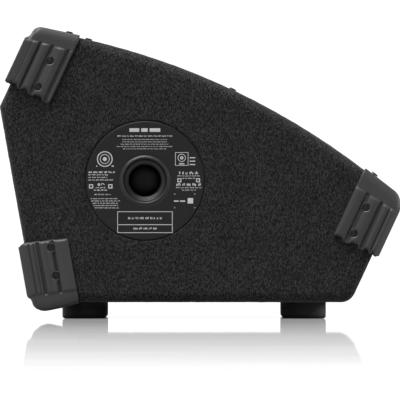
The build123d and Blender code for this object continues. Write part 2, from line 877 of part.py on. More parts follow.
def make_basket():
    seat = -BAFFLE_DEPTH
    with BuildPart() as basket:
        with BuildSketch(face_section(WOOFER_Y)):
            Polygon(
                (BASKET_RADIUS, seat), (BASKET_RADIUS, seat + BASKET_PLATE),
                (134, seat + BASKET_PLATE), (134, seat - 8), (74, -92), (45, -92), (45, -98),
                (76, -98), (BASKET_RADIUS - 16, seat - 9), (BASKET_RADIUS - 16, seat),
                align=None,
            )
        revolve(axis=face_axis(WOOFER_Y))
        with BuildSketch(face_plane(y=WOOFER_Y, out=-34)):
            with PolarLocations(106, 6, start_angle=30):
                RectangleRounded(40, 62, 12)
        extrude(amount=-60, mode=Mode.SUBTRACT)
        with BuildSketch(face_plane(TERMINAL_ALONG, WOOFER_Y, TERMINAL_OUT + 14)):
            Rectangle(12, 16)
        extrude(amount=-14)
        add(driver_screw_set, mode=Mode.SUBTRACT)
    save(basket, "woofer_basket")


def make_surround():
    """Half-roll rubber edge between the cone and the basket's rim."""
    edge = BASKET_PLATE - BAFFLE_DEPTH
    roll, sheet = 6.0, 0.9
    middle = CONE_RADIUS + 3 + roll
    with BuildPart() as surround:
        with BuildSketch(face_section(WOOFER_Y)):
            with Locations((middle, edge + sheet)):
                Circle(roll)
                Circle(roll - sheet, mode=Mode.SUBTRACT)
            with Locations((middle, edge + sheet - roll)):
                Rectangle(2 * roll, 2 * roll, mode=Mode.SUBTRACT)
            with Locations((CONE_RADIUS + 1.6, edge + sheet + sheet / 2)):
                Rectangle(4.4, sheet)
            with Locations((middle + roll + 4.0, edge + sheet / 2)):
                Rectangle(9.0, sheet)
            with Locations((middle + roll - sheet / 2, edge + sheet / 2 + 0.3)):
                Rectangle(sheet, sheet + 0.6)
        revolve(axis=face_axis(WOOFER_Y))
    save(surround, "woofer_surround")


def make_woofer():
    make_basket()
    make_surround()
    rim = BASKET_PLATE - BAFFLE_DEPTH + 0.9
    paper = 1.1
    neck = -70.0
    revolved(
        ((CONE_RADIUS + 3, rim), (CONE_RADIUS, rim), (COIL_RADIUS + 1.2, neck),
         (COIL_RADIUS + 1.2, neck - paper * 2), (CONE_RADIUS + 0.8, rim - paper),
         (CONE_RADIUS + 3, rim - paper)),
        WOOFER_Y, "woofer_cone",
    )
    with BuildPart() as cap:
        dome, base, reach = 16.0, -58.0, 50.0
        radius = (reach**2 + dome**2) / (2 * dome)
        with BuildSketch(face_section(WOOFER_Y)):
            with Locations((0, base + dome - radius)):
                Circle(radius)
                Circle(radius - paper, mode=Mode.SUBTRACT)
            with Locations((reach / 2, base + dome / 2)):
                Rectangle(reach, dome, mode=Mode.INTERSECT)
        revolve(axis=face_axis(WOOFER_Y))
    save(cap, "dust_cap")
    with BuildPart() as coil:
        former, winding = 0.5, 0.7
        with BuildSketch(face_plane(y=WOOFER_Y, out=neck)):
            Circle(COIL_RADIUS + former)
            Circle(COIL_RADIUS, mode=Mode.SUBTRACT)
        extrude(amount=-46)
        with BuildSketch(face_plane(y=WOOFER_Y, out=neck - 31)):
            Circle(COIL_RADIUS + former + winding)
            Circle(COIL_RADIUS + former, mode=Mode.SUBTRACT)
        extrude(amount=-14)
    save(coil, "voice_coil")
    spider_out = -87.0
    ring = COIL_RADIUS + 0.5
    waves = [
        (ring + (70 - ring) * i / 14, spider_out + (1.6 if i % 2 else -1.6) * (0 < i < 14))
        for i in range(15)
    ]
    revolved(waves + [(r, out - 0.7) for r, out in reversed(waves)], WOOFER_Y, "spider")
    plate, magnet, back = -98.0, -106.0, -126.0
    revolved(
        ((72, plate), (72, magnet), (COIL_RADIUS + 2.0, magnet), (COIL_RADIUS + 2.0, plate)),
        WOOFER_Y, "magnet_top_plate",
    )
    revolved(((78, magnet), (78, back), (42, back), (42, magnet)), WOOFER_Y, "magnet")
    revolved(
        ((72, back), (72, back - 8), (0, back - 8), (0, plate), (COIL_RADIUS - 1.0, plate),
         (COIL_RADIUS - 1.0, back)),
        WOOFER_Y, "pole_yoke",
    )


make_woofer()


# ---------------------------------------------------------------- horn and ports


def make_horn():
    """Rectangular waveguide that narrows to the round throat of the compression driver."""
    wall = 3.0
    front = BASKET_PLATE - BAFFLE_DEPTH
    throat = front - HORN_DEPTH
    mouth_along = HORN_ALONG - 30
    mouth_across = HORN_ACROSS - 30
    with BuildPart() as horn:
        with BuildSketch(face_plane(y=HORN_Y, out=front)):
            RectangleRounded(mouth_along + 2 * wall, mouth_across + 2 * wall, 18 + wall)
        with BuildSketch(face_plane(y=HORN_Y, out=throat)):
            Circle(THROAT_RADIUS + wall)
        loft()
        with BuildSketch(face_plane(y=HORN_Y, out=-BAFFLE_DEPTH)):
            RectangleRounded(HORN_ALONG, HORN_ACROSS, 8)
        extrude(amount=BASKET_PLATE)
        with BuildSketch(face_plane(y=HORN_Y, out=throat)):
            Circle(DRIVER_RADIUS - 8)
        extrude(amount=6)
        with BuildSketch(face_plane(y=HORN_Y, out=front)):
            RectangleRounded(mouth_along, mouth_across, 18)
        with BuildSketch(face_plane(y=HORN_Y, out=throat)):
            Circle(THROAT_RADIUS)
        loft(mode=Mode.SUBTRACT)
        add(driver_screw_set, mode=Mode.SUBTRACT)
    save(horn, "horn")
    back = throat - DRIVER_LENGTH
    revolved(
        ((THROAT_RADIUS, throat), (DRIVER_RADIUS - 6, throat), (DRIVER_RADIUS - 6, throat - 8),
         (DRIVER_RADIUS, throat - 10), (DRIVER_RADIUS, back + 14), (DRIVER_RADIUS - 9, back + 4),
         (DRIVER_RADIUS - 14, back), (0, back), (0, throat - 16), (THROAT_RADIUS, throat - 16)),
        HORN_Y, "compression_driver",
    )


make_horn()


def make_ports():
    wall = 3.0
    with BuildPart() as ports:
        for side in (-1, 1):
            seat = face_plane(side * PORT_ALONG, PORT_Y, -BAFFLE_DEPTH)
            with BuildSketch(seat):
                Circle(PORT_RADIUS + 7)
            extrude(amount=2.5)
            with BuildSketch(seat):
                Circle(PORT_RADIUS + wall)
            extrude(amount=-PORT_LENGTH)
            with BuildSketch(seat.offset(2.5)):
                Circle(PORT_RADIUS)
            extrude(amount=-PORT_LENGTH - 2.5, mode=Mode.SUBTRACT)
    save(ports, "port_tubes")


make_ports()


# ---------------------------------------------------------------- amplifier panel

XLR_HOLE = 12.0
JACK_HOLE = 9.0
CONNECTOR_FLANGE = 2.0
CONNECTOR_BODY = 15.0  # how far a line connector goes behind the recess floor
CONNECTOR_WELL = 13.0
LATCH_WIDTH, LATCH_HEIGHT, LATCH_LENGTH = 8.0, 4.0, 3.4
LATCH_UP = 12.0
LATCH_PLAY = 0.3
INLET_WIDTH, INLET_HEIGHT = 31.0, 24.0
ROCKER_PIVOT = 28.0
PIN_RADIUS = 1.5


def cut_panel_holes():
    with BuildSketch(rear_plane(RECESS_FLOOR - 0.5)) as holes:
        with Locations((HEATSINK_X, 0)):
            Rectangle(HEATSINK_WIDTH, HEATSINK_HEIGHT)
        with Locations(*[(x, KNOB_ROW) for _, x in KNOBS]):
            Circle(SHAFT_RADIUS + SHAFT_PLAY)
        with Locations((XLR_X, CONNECTOR_ROW), (LINK_X, CONNECTOR_ROW)):
            Circle(XLR_HOLE)
        with Locations((XLR_X, CONNECTOR_ROW + LATCH_UP)):
            Rectangle(LATCH_WIDTH + 4 * LATCH_PLAY, LATCH_HEIGHT + 4 * LATCH_PLAY)
        with Locations((JACK_X, CONNECTOR_ROW)):
            Circle(JACK_HOLE)
        with Locations(*[(BUTTON_X, y) for _, y in BUTTONS]):
            Circle(BUTTON_RADIUS + 0.3)
        with Locations(*[(LED_X, y) for y in LED_YS]):
            Circle(1.6)
        with Locations((INLET_X, INLET_Y)):
            Rectangle(INLET_WIDTH + 0.4, INLET_HEIGHT + 0.4)
        with Locations((ROCKER_X, ROCKER_Y)):
            Rectangle(ROCKER_WIDTH + 0.8, ROCKER_HOLE)
    extrude(holes.sketch, amount=-PANEL_SHEET - 1, mode=Mode.SUBTRACT)


def switch_pins(radius, mode):
    """The rocker's two trunnions, or the holes that hold them."""
    reach = ROCKER_WIDTH / 2 + 2.0
    x, _, z = tuple(rear_plane(ROCKER_PIVOT).from_local_coords((ROCKER_X, ROCKER_Y, 0)))
    with BuildSketch(Plane(origin=(x, -ROCKER_X - reach, z), z_dir=(0, 1, 0))) as pin:
        Circle(radius)
    extrude(pin.sketch, amount=2 * reach, mode=mode)


def make_amp_panel():
    """Pressed tray with a recessed control area, and the rocker's housing behind it."""
    rim = 0.5
    with BuildPart() as panel:
        with BuildSketch(rear_plane(CARPET)):
            RectangleRounded(PANEL_WIDTH, PANEL_HEIGHT, 7)
        extrude(amount=CARPET - rim)
        with BuildSketch(rear_plane(RECESS_FLOOR + PANEL_SHEET)):
            RectangleRounded(RECESS_WIDTH + 2 * PANEL_SHEET, RECESS_HEIGHT + 2 * PANEL_SHEET, 5)
        extrude(amount=RECESS_FLOOR)
        with BuildSketch(rear_plane(RECESS_FLOOR)):
            RectangleRounded(RECESS_WIDTH, RECESS_HEIGHT, 3)
        extrude(amount=RECESS_FLOOR + 1, mode=Mode.SUBTRACT)
        cut_panel_holes()
        with BuildSketch(rear_plane(RECESS_FLOOR + PANEL_SHEET)):
            with Locations((ROCKER_X, ROCKER_Y)):
                Rectangle(ROCKER_WIDTH + 4.8, ROCKER_HOLE + 4)
                Rectangle(ROCKER_WIDTH + 0.8, ROCKER_HOLE, mode=Mode.SUBTRACT)
        extrude(amount=-12)
        with BuildSketch(rear_plane(RECESS_FLOOR)):
            with Locations((ROCKER_X, ROCKER_Y)):
                Rectangle(ROCKER_WIDTH + 4.8, ROCKER_HOLE + 4)
                Rectangle(ROCKER_WIDTH + 0.8, ROCKER_HOLE, mode=Mode.SUBTRACT)
        extrude(amount=1.2)
        switch_pins(PIN_RADIUS + SHAFT_PLAY, Mode.SUBTRACT)
        add(panel_screw_set, mode=Mode.SUBTRACT)
    save(panel, "amp_panel")


make_amp_panel()


def make_heatsink():
    """Finned block: the plate is behind the panel, the fins stand through its window."""
    plate = 4.0
    clear = 0.6
    gap = (HEATSINK_WIDTH - 2 * clear - FIN) / (FIN_COUNT - 1)
    with BuildPart() as heatsink:
        with BuildSketch(rear_plane(RECESS_FLOOR + PANEL_SHEET)):
            with Locations((HEATSINK_X, 0)):
                Rectangle(HEATSINK_WIDTH + 8, HEATSINK_HEIGHT + 8)
        extrude(amount=-plate)
        with BuildSketch(rear_plane(RECESS_FLOOR + PANEL_SHEET)):
            with Locations((HEATSINK_X, 0)):
                with GridLocations(gap, 0, FIN_COUNT, 1):
                    Rectangle(FIN, HEATSINK_HEIGHT - 2 * clear)
        extrude(amount=PANEL_SHEET + 16)
    save(heatsink, "heatsink")


make_heatsink()


def make_electronics():
    behind = RECESS_FLOOR + PANEL_SHEET
    component_side = BOARD_DEPTH + BOARD_SHEET
    with BuildPart() as board:
        with BuildSketch(rear_plane(BOARD_DEPTH)):
            Rectangle(250, 112)
        extrude(amount=-BOARD_SHEET)
        with BuildSketch(rear_plane(BOARD_DEPTH)):
            with Locations((-37, 50), (-37, -50), (60, 22), (116, -50)):
                Circle(3.0)
        extrude(amount=BOARD_DEPTH - behind)
        with BuildSketch(rear_plane(BOARD_DEPTH)):
            with Locations(*[(x, KNOB_ROW) for _, x in KNOBS]):
                Rectangle(13, 13)
                Circle(SHAFT_RADIUS + SHAFT_PLAY, mode=Mode.SUBTRACT)
        extrude(amount=8)
        with BuildSketch(rear_plane(component_side)):
            with Locations((78, -20), (102, -20), (40, 34), (64, 34), (88, 34)):
                Circle(9.5)
        extrude(amount=-26)
        with BuildSketch(rear_plane(component_side)):
            with Locations((12, 30), (14, -36), (50, -34)):
                Rectangle(22, 26)
        extrude(amount=-14)
    save(board, "amp_board")
    with BuildPart() as transformer:
        with BuildSketch(rear_plane(component_side)):
            with Locations((-70, 0)):
                Circle(40)
                Circle(9, mode=Mode.SUBTRACT)
        extrude(amount=-27)
        fillet(transformer.faces().sort_by(Axis.X)[-1].edges(), 6)
    save(transformer, "transformer")


make_electronics()


def make_knobs():
    """Fluted pointer knobs, each in one piece with the shaft that turns in the panel."""
    lift = 0.4
    flutes = 16
    for name, x in KNOBS:
        with BuildPart() as knob:
            with BuildSketch(rear_plane(RECESS_FLOOR - lift)):
                with Locations((x, KNOB_ROW)):
                    Circle(KNOB_RADIUS)
            extrude(amount=KNOB_HEIGHT, taper=4)
            with BuildSketch(rear_plane(RECESS_FLOOR - lift - 3)):
                with Locations((x, KNOB_ROW)):
                    with PolarLocations(KNOB_RADIUS + 0.3, flutes):
                        Circle(0.8)
            extrude(amount=KNOB_HEIGHT, mode=Mode.SUBTRACT)
            with BuildSketch(rear_plane(RECESS_FLOOR - lift - KNOB_HEIGHT)):
                with Locations((x, KNOB_ROW + KNOB_RADIUS * 0.5)):
                    Rectangle(1.2, KNOB_RADIUS)
            extrude(amount=-0.8, mode=Mode.SUBTRACT)
            with BuildSketch(rear_plane(RECESS_FLOOR - lift)):
                with Locations((x, KNOB_ROW)):
                    Circle(SHAFT_RADIUS)
            extrude(amount=-(BOARD_DEPTH - RECESS_FLOOR + lift - 2.5))
        save(knob, name)


make_knobs()


def make_buttons():
    for name, y in BUTTONS:
        with BuildPart() as button:
            with BuildSketch(rear_plane(RECESS_FLOOR + 12)):
                with Locations((BUTTON_X, y)):
                    Circle(BUTTON_RADIUS)
            extrude(amount=16.5)
            chamfer(button.faces().sort_by(Axis.X)[0].edges(), 0.6)
            with BuildSketch(rear_plane(RECESS_FLOOR + PANEL_SHEET + 0.4)):
                with Locations((BUTTON_X, y)):
                    Circle(BUTTON_RADIUS + 1.2)
            extrude(amount=-1.2)
        save(button, name)


make_buttons()


def make_rocker():
    """Mains rocker: a V-faced paddle on two trunnions, at rest with its lower half pressed."""
    dip = ROCKER_HALF * tan(radians(ROCKER_SWING))
    face = ROCKER_PIVOT - RECESS_FLOOR + 1.6
    x, _, z = tuple(rear_plane(ROCKER_PIVOT).from_local_coords((ROCKER_X, ROCKER_Y, 0)))
    pivot = Axis((x, -ROCKER_X, z), (0, 1, 0))
    section = Plane(
        origin=(x, -ROCKER_X + ROCKER_WIDTH / 2, z),
        x_dir=(REAR_AXIS[2], 0, -REAR_AXIS[0]),
        z_dir=(0, -1, 0),
    )
    rim = ROCKER_HALF
    with BuildPart() as upright:
        with BuildSketch(section):
            Polygon(
                (-rim, face + dip), (0, face), (rim, face + dip), (rim, -5), (-rim, -5),
                align=None,
            )
        extrude(amount=ROCKER_WIDTH)
    with BuildPart() as rocker:
        add(upright.part.rotate(pivot, ROCKER_SWING))
        switch_pins(PIN_RADIUS, Mode.ADD)
    save(rocker, "power_rocker")


make_rocker()


def make_connectors():
    inward = RECESS_FLOOR
    flange = CONNECTOR_FLANGE
    with BuildPart() as xlr:
        with BuildSketch(rear_plane(inward)):
            with Locations((XLR_X, CONNECTOR_ROW)):
                RectangleRounded(26, 31, 2.5)
        extrude(amount=flange)
        with BuildSketch(rear_plane(inward)):
            with Locations((XLR_X, CONNECTOR_ROW)):
                Circle(XLR_HOLE - 0.2)
        extrude(amount=-CONNECTOR_BODY)
        with BuildSketch(rear_plane(inward - flange)):
            with Locations((XLR_X, CONNECTOR_ROW)):
                Circle(9.5)
                Circle(7.6, mode=Mode.SUBTRACT)
                with PolarLocations(4.2, 3, start_angle=90):
                    Circle(1.3)
        extrude(amount=-CONNECTOR_WELL, mode=Mode.SUBTRACT)
        with BuildSketch(rear_plane(inward - flange)):
            with Locations((XLR_X, CONNECTOR_ROW + LATCH_UP)):
                Rectangle(LATCH_WIDTH + 2 * LATCH_PLAY, LATCH_HEIGHT + 2 * LATCH_PLAY)
        extrude(amount=-LATCH_LENGTH - LATCH_PLAY, mode=Mode.SUBTRACT)
        add(panel_screw_set, mode=Mode.SUBTRACT)
    save(xlr, "xlr_input")
    with BuildPart() as latch:
        with BuildSketch(rear_plane(inward - flange + 1.9)):
            with Locations((XLR_X, CONNECTOR_ROW + LATCH_UP)):
                Rectangle(LATCH_WIDTH, LATCH_HEIGHT)
        extrude(amount=LATCH_LENGTH)
    save(latch, "xlr_latch")
    with BuildPart() as link:
        with BuildSketch(rear_plane(inward)):
            with Locations((LINK_X, CONNECTOR_ROW)):
                RectangleRounded(26, 31, 2.5)
        extrude(amount=flange)
        with BuildSketch(rear_plane(inward)):
            with Locations((LINK_X, CONNECTOR_ROW)):
                Circle(XLR_HOLE - 0.2)
        extrude(amount=-CONNECTOR_BODY)
        with BuildSketch(rear_plane(inward - flange)):
            with Locations((LINK_X, CONNECTOR_ROW)):
                Circle(9.3)
                with PolarLocations(4.2, 3, start_angle=-90):
                    Circle(1.2, mode=Mode.SUBTRACT)
        extrude(amount=-CONNECTOR_WELL, mode=Mode.SUBTRACT)
        add(panel_screw_set, mode=Mode.SUBTRACT)
    save(link, "link_output")
    with BuildPart() as jack:
        with BuildSketch(rear_plane(inward)):
            with Locations((JACK_X, CONNECTOR_ROW)):
                Circle(10.5)
        extrude(amount=flange)
        with BuildSketch(rear_plane(inward - flange)):
            with Locations((JACK_X, CONNECTOR_ROW)):
                RegularPolygon(8.0, 6)
        extrude(amount=2.0)
        with BuildSketch(rear_plane(inward)):
            with Locations((JACK_X, CONNECTOR_ROW)):
                Circle(JACK_HOLE - 0.2)
        extrude(amount=-14)
        with BuildSketch(rear_plane(inward - flange - 2.0)):
            with Locations((JACK_X, CONNECTOR_ROW)):
                Circle(3.25)
        extrude(amount=-16, mode=Mode.SUBTRACT)
    save(jack, "jack_input")


make_connectors()


def make_mains_inlet():
    """Three-pin appliance inlet: flange, shroud and blades."""
    inward = RECESS_FLOOR
    here = (INLET_X, INLET_Y)
    with BuildPart() as inlet:
        with BuildSketch(rear_plane(inward)):
            with Locations(here):
                RectangleRounded(50, 30, 3)
        extrude(amount=3)
        with BuildSketch(rear_plane(inward)):
            with Locations(here):
                Rectangle(INLET_WIDTH, INLET_HEIGHT)
        extrude(amount=-14)
        with BuildSketch(rear_plane(inward - 3)):
            with Locations(here):
                RectangleRounded(24.5, 16.5, 3)
        extrude(amount=-15, mode=Mode.SUBTRACT)
        with BuildSketch(rear_plane(inward + 13)):
            with Locations(
                (INLET_X - 7, INLET_Y - 2), (INLET_X, INLET_Y + 2), (INLET_X + 7, INLET_Y - 2)
            ):
                Rectangle(2, 4)
        extrude(amount=13)
    save(inlet, "mains_inlet")


make_mains_inlet()


def make_leds():
    with BuildPart() as leds:
        with BuildSketch(rear_plane(RECESS_FLOOR + 5)):
            with Locations(*[(LED_X, y) for y in LED_YS]):
                Circle(1.5)
        extrude(amount=6.2)
        with BuildSketch(rear_plane(RECESS_FLOOR + 5)):
            with Locations(*[(LED_X, y) for y in LED_YS]):
                Circle(2.1)
        extrude(amount=-2)
    save(leds, "status_leds")


make_leds()


# ---------------------------------------------------------------- wadding and leads


def make_wadding():
    """Polyester wadding laid on the bottom board, either side of the brace."""
    floor = BASE_Z + RING
    thick = 20.0
    with BuildPart() as wadding:
        for low, high in ((-SIDE_INNER + 6, BRACE_Y - 4), (BRACE_Y + BOARD + 4, SIDE_INNER - 6)):
            with BuildSketch(side_view(high)):
                Polygon(
                    (-165, floor), (150, floor), (150, floor + thick), (-165, floor + thick),
                    align=None,
                )
            extrude(amount=high - low)
    save(wadding, "wadding")


make_wadding()


def make_leads():
    """Twin leads from the amplifier board to the woofer and to the compression driver."""
    lead_radius = 2.2
    straight = 18.0
    amp_side = BOARD_DEPTH + BOARD_SHEET + 14
    driver_back = BASKET_PLATE - BAFFLE_DEPTH - HORN_DEPTH - DRIVER_LENGTH

    def off_amplifier(across, up, depth):
        return tuple(rear_plane(depth).from_local_coords((across, up, 0)))

    def off_face(along, y, out):
        x, z = on_face(along, out)
        return (x, y, z)

    with BuildPart() as leads:
        routes = (
            (
                off_amplifier(12, 30, amp_side),
                off_amplifier(12, 30, amp_side + straight),
                (-130, -50, 188),
                off_face(TERMINAL_ALONG, WOOFER_Y, TERMINAL_OUT - straight),
                off_face(TERMINAL_ALONG, WOOFER_Y, TERMINAL_OUT),
            ),
            (
                off_amplifier(14, -36, amp_side),
                off_amplifier(14, -36, amp_side + straight),
                (-124, 24, 100),
                (-122, 78, 92),
                (-104, 130, 80),
                off_face(-20, HORN_Y, driver_back - straight),
                off_face(-20, HORN_Y, driver_back),
            ),
        )
        for route in routes:
            with BuildLine() as path:
                FilletPolyline(*route, radius=9.0)
            with BuildSketch(Plane(origin=path.line @ 0, z_dir=path.line % 0)):
                Circle(lead_radius)
            sweep(path=path.line)
    save(leads, "speaker_leads")


make_leads()
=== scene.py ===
import math

import bpy
import numpy as np
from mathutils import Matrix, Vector


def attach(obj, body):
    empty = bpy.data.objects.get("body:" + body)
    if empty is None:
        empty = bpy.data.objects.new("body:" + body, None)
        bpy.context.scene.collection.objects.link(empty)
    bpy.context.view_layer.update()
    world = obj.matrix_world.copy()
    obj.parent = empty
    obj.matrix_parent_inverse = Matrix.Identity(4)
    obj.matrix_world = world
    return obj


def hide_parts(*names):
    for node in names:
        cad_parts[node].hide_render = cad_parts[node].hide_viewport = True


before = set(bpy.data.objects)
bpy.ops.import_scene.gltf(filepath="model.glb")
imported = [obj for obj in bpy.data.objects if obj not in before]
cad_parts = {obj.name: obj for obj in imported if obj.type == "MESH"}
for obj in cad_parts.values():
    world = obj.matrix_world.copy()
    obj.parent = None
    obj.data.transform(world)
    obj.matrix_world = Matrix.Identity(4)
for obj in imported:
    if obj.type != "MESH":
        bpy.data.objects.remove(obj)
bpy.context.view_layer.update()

MM = 0.001
rng = np.random.default_rng(7)

# ---------------------------------------------------------------- sizes of the CAD model, mm

FACE_TILT = math.radians(24.9)
FACE_LENGTH = 460.8
HALF_FACE = FACE_LENGTH / 2
TOP_RADIUS = 829.6
NOSE = np.array([228.7, 138.6])
SHOULDER_LENGTH = 97.8
HEEL = np.array([-190.4, 19.0])
BASE_Z = 19.0
TOE_RADIUS = 17.0
HALF_WIDTH = 280.0
CARPET = 2.5
RING = 17.5
SIDE_INNER = 262.5
SOCKET = np.array([-63.3, 159.0])
SOCKET_FLANGE = 68.75
HANDLE = np.array([-62.0, 142.0])
HANDLE_HALF = np.array([79.0 + 15.0, 42.0 + 15.0])
PANEL_HALF = np.array([150.0, 88.0])
RECESS_FLOOR = 22.0
FOOT_XS = (-133.4, 119.8)
FOOT_Y = 197.0

DOWN_SLOPE = np.array([math.cos(FACE_TILT), -math.sin(FACE_TILT)])
OUT_OF_SLOPE = np.array([math.sin(FACE_TILT), math.cos(FACE_TILT)])
FACE_MIDDLE = NOSE - DOWN_SLOPE * HALF_FACE


def on_face(along, out):
    return FACE_MIDDLE + DOWN_SLOPE * along + OUT_OF_SLOPE * out


CROWN = on_face(-HALF_FACE, 0)
BEND = on_face(-HALF_FACE, -SHOULDER_LENGTH)
TOE = on_face(HALF_FACE, -(NOSE[1] - BASE_Z) / math.cos(FACE_TILT))
REAR_LEAN = math.atan2(HEEL[0] - BEND[0], BEND[1] - HEEL[1])
REAR_MIDDLE = (HEEL + BEND) / 2
CHORD_DROP = math.sqrt(TOP_RADIUS**2 - (HALF_FACE) ** 2)
BULGE = TOP_RADIUS - CHORD_DROP
ARC_CENTRE = on_face(0, BULGE - TOP_RADIUS)
REAR_OUT = np.array([-math.cos(REAR_LEAN), 0, -math.sin(REAR_LEAN)])
REAR_UP = np.array([-math.sin(REAR_LEAN), 0, math.cos(REAR_LEAN)])
REAR_RIGHT = np.array([0.0, -1.0, 0.0])


def rear_point(across, up, depth=0.0):
    """A point of the amplifier panel, in mm."""
    middle = np.array([REAR_MIDDLE[0], 0, REAR_MIDDLE[1]])
    return middle + REAR_RIGHT * across + REAR_UP * up - REAR_OUT * depth


# ---------------------------------------------------------------- camera, light and floor

VIEW_SPAN = 0.46
LOOK_HEIGHT = 0.1366
CAMERA_DISTANCE = 22.0

camera_data = bpy.data.cameras.new("camera")
camera_data.sensor_width = 36.0
camera_data.lens = camera_data.sensor_width * CAMERA_DISTANCE / VIEW_SPAN
camera_data.clip_end = 120.0
camera = bpy.data.objects.new("camera", camera_data)
camera.location = (0, -HALF_WIDTH * MM - CAMERA_DISTANCE, LOOK_HEIGHT)
camera.rotation_euler = (math.pi / 2, 0, 0)
bpy.context.collection.objects.link(camera)
bpy.context.scene.camera = camera
bpy.context.scene.view_settings.view_transform = "Standard"


# ---------------------------------------------------------------- materials


class Tree:
    """A short way to write the node tree of a material or of the world."""

    def __init__(self, owner):
        owner.use_nodes = True
        self.owner = owner
        self.nodes, self.links = owner.node_tree.nodes, owner.node_tree.links
        self.shader = self.nodes.get("Principled BSDF")

    def feed(self, socket, value):
        """Links an output to a socket, or sets it to a number, a vector or a shade."""
        if isinstance(value, bpy.types.NodeSocket):
            self.links.new(value, socket)
        else:
            socket.default_value = (*shade(value), 1) if socket.type == "RGBA" else value

    def set(self, **values):
        for key, value in values.items():
            self.feed(self.shader.inputs[key.replace("_", " ")], value)

    def add(self, kind, out=0, **inputs):
        """A new node with its inputs fed by name; gives one of its outputs."""
        node = self.nodes.new("ShaderNode" + kind)
        for key, value in inputs.items():
            self.feed(node.inputs[key.replace("_", " ")], value)
        return node.outputs[out]

    def coords(self, scale=(1, 1, 1), rotation=(0, 0, 0)):
        place = self.add("TexCoord", "Object")
        return self.add("Mapping", "Vector", Vector=place, Scale=scale, Rotation=rotation)

    def noise(self, vector, scale, detail=4.0, rough=0.55, warp=0.0):
        return self.add("TexNoise", "Fac", Vector=vector, Scale=scale, Detail=detail,
                        Roughness=rough, Distortion=warp)

    def cells(self, vector, scale):
        return self.add("TexVoronoi", "Distance", Vector=vector, Scale=scale)

    def remap(self, source, low, high, to_low, to_high):
        return self.add("MapRange", "Result", Value=source, From_Min=low, From_Max=high,
                        To_Min=to_low, To_Max=to_high)

    def math(self, kind, a, b):
        node = self.nodes.new("ShaderNodeMath")
        node.operation = kind
        self.feed(node.inputs[0], a)
        self.feed(node.inputs[1], b)
        return node.outputs[0]

    def blend(self, a, share, b):
        """A weighted sum: so much of a, and the rest of b."""
        return self.math("ADD", self.math("MULTIPLY", a, share),
                         self.math("MULTIPLY", b, 1 - share))

    def ramp(self, source, *stops):
        node = self.nodes.new("ShaderNodeValToRGB")
        ramp = node.color_ramp
        while len(ramp.elements) < len(stops):
            ramp.elements.new(0.5)
        for element, (place, tone) in zip(ramp.elements, stops):
            element.position = place
            element.color = (*shade(tone), 1)
        self.feed(node.inputs["Fac"], source)
        return node.outputs["Color"]

    def mix(self, factor, a, b):
        node = self.nodes.new("ShaderNodeMix")
        node.data_type = "RGBA"
        for slot, value in ((0, factor), (6, a), (7, b)):
            self.feed(node.inputs[slot], value)
        return node.outputs[2]

    def join(self, factor, a, b, output):
        """Mixes two shaders and sends them to the output node."""
        node = self.nodes.new("ShaderNodeMixShader")
        for slot, value in enumerate((factor, a, b)):
            self.feed(node.inputs[slot], value)
        self.feed(self.nodes[output].inputs["Surface"], node.outputs[0])

    def surface(self, colour, rough, height, depth, edge=0.0, **settings):
        """Feeds colour, roughness and bump to the shader and gives the material."""
        relief = {"Height": height, "Distance": depth, "Strength": 1.0}
        if edge:
            bevel = self.nodes.new("ShaderNodeBevel")
            bevel.samples = 4
            bevel.inputs["Radius"].default_value = edge
            relief["Normal"] = bevel.outputs["Normal"]
        normal = self.add("Bump", "Normal", **relief)
        self.set(Base_Color=colour, Roughness=rough, Normal=normal, **settings)
        return self.owner


def shade(tone):
    """A grey level or a colour, as red, green and blue."""
    return tone if isinstance(tone, tuple) else (tone, tone, tone)


def material_tree(name):
    return Tree(bpy.data.materials.new(name))


def plain(name, dark, light, grain, patch, rough, depth, metallic=0.0, edge=0.0, scratches=0.0,
          **extra):
    """Moulded plastic, paint or metal: grain, large patches of tone, scratches and bump."""
    t = material_tree(name)
    where = t.coords()
    fine = height = t.noise(where, grain, 5)
    broad = t.noise(where, patch, 3)
    colour = t.ramp(t.blend(fine, 0.5, broad), (0.32, dark), (0.7, light))
    if scratches:
        streak = t.noise(t.coords((30, 2200, 30), (0.3, 0.2, 0.5)), 1.0, 3)
        mask = t.remap(streak, 0.66, 0.74, 0.0, scratches)
        colour = t.mix(mask, colour, tuple(min(1.0, 2.2 * c + 0.02) for c in shade(light)))
        height = t.math("SUBTRACT", fine, mask)
    return t.surface(colour, t.remap(broad, 0.3, 0.7, *rough), height, depth, edge,
                     Metallic=metallic, **extra)


def felt(name, dark, light):
    """Needle-felt carpet: short fibres lying every way, clumps and a soft pile."""
    t = material_tree(name)
    layers = []
    for turn, squeeze in ((0.2, 5200), (1.1, 4600), (2.2, 5600), (2.9, 4300)):
        for scale, lie in (((900, squeeze, 900), (turn, 0.35, turn * 1.7)),
                           ((squeeze, 900, 900), (0.6, turn, turn * 0.7))):
            layers.append(t.noise(t.coords(scale, lie), 1.0, 2, 0.6, 0.4))
    fibres = layers[0]
    for layer in layers[1:]:
        fibres = t.math("MAXIMUM", fibres, layer)
    clumps = t.noise(t.coords((1.0, 1.0, 0.5)), 1000, 2, 0.5, 0.6)
    tufts = t.noise(t.coords((1.0, 1.0, 0.5), (0.5, 0.3, 0.2)), 640, 1, 0.5, 0.4)
    broad = t.noise(t.coords(), 26, 3)
    mixed = t.blend(fibres, 0.3, t.blend(clumps, 0.55, tufts))
    colour = t.ramp(mixed, (0.44, dark), (0.53, (dark + light) / 3.2), (0.64, light))
    colour = t.mix(t.remap(broad, 0.3, 0.7, 0.0, 0.25), colour, dark * 0.8)
    return t.surface(colour, t.remap(clumps, 0.3, 0.7, 0.85, 1.0), mixed, 0.0012,
                     Sheen_Weight=0.18, Sheen_Roughness=0.3, Specular_IOR_Level=0.1)


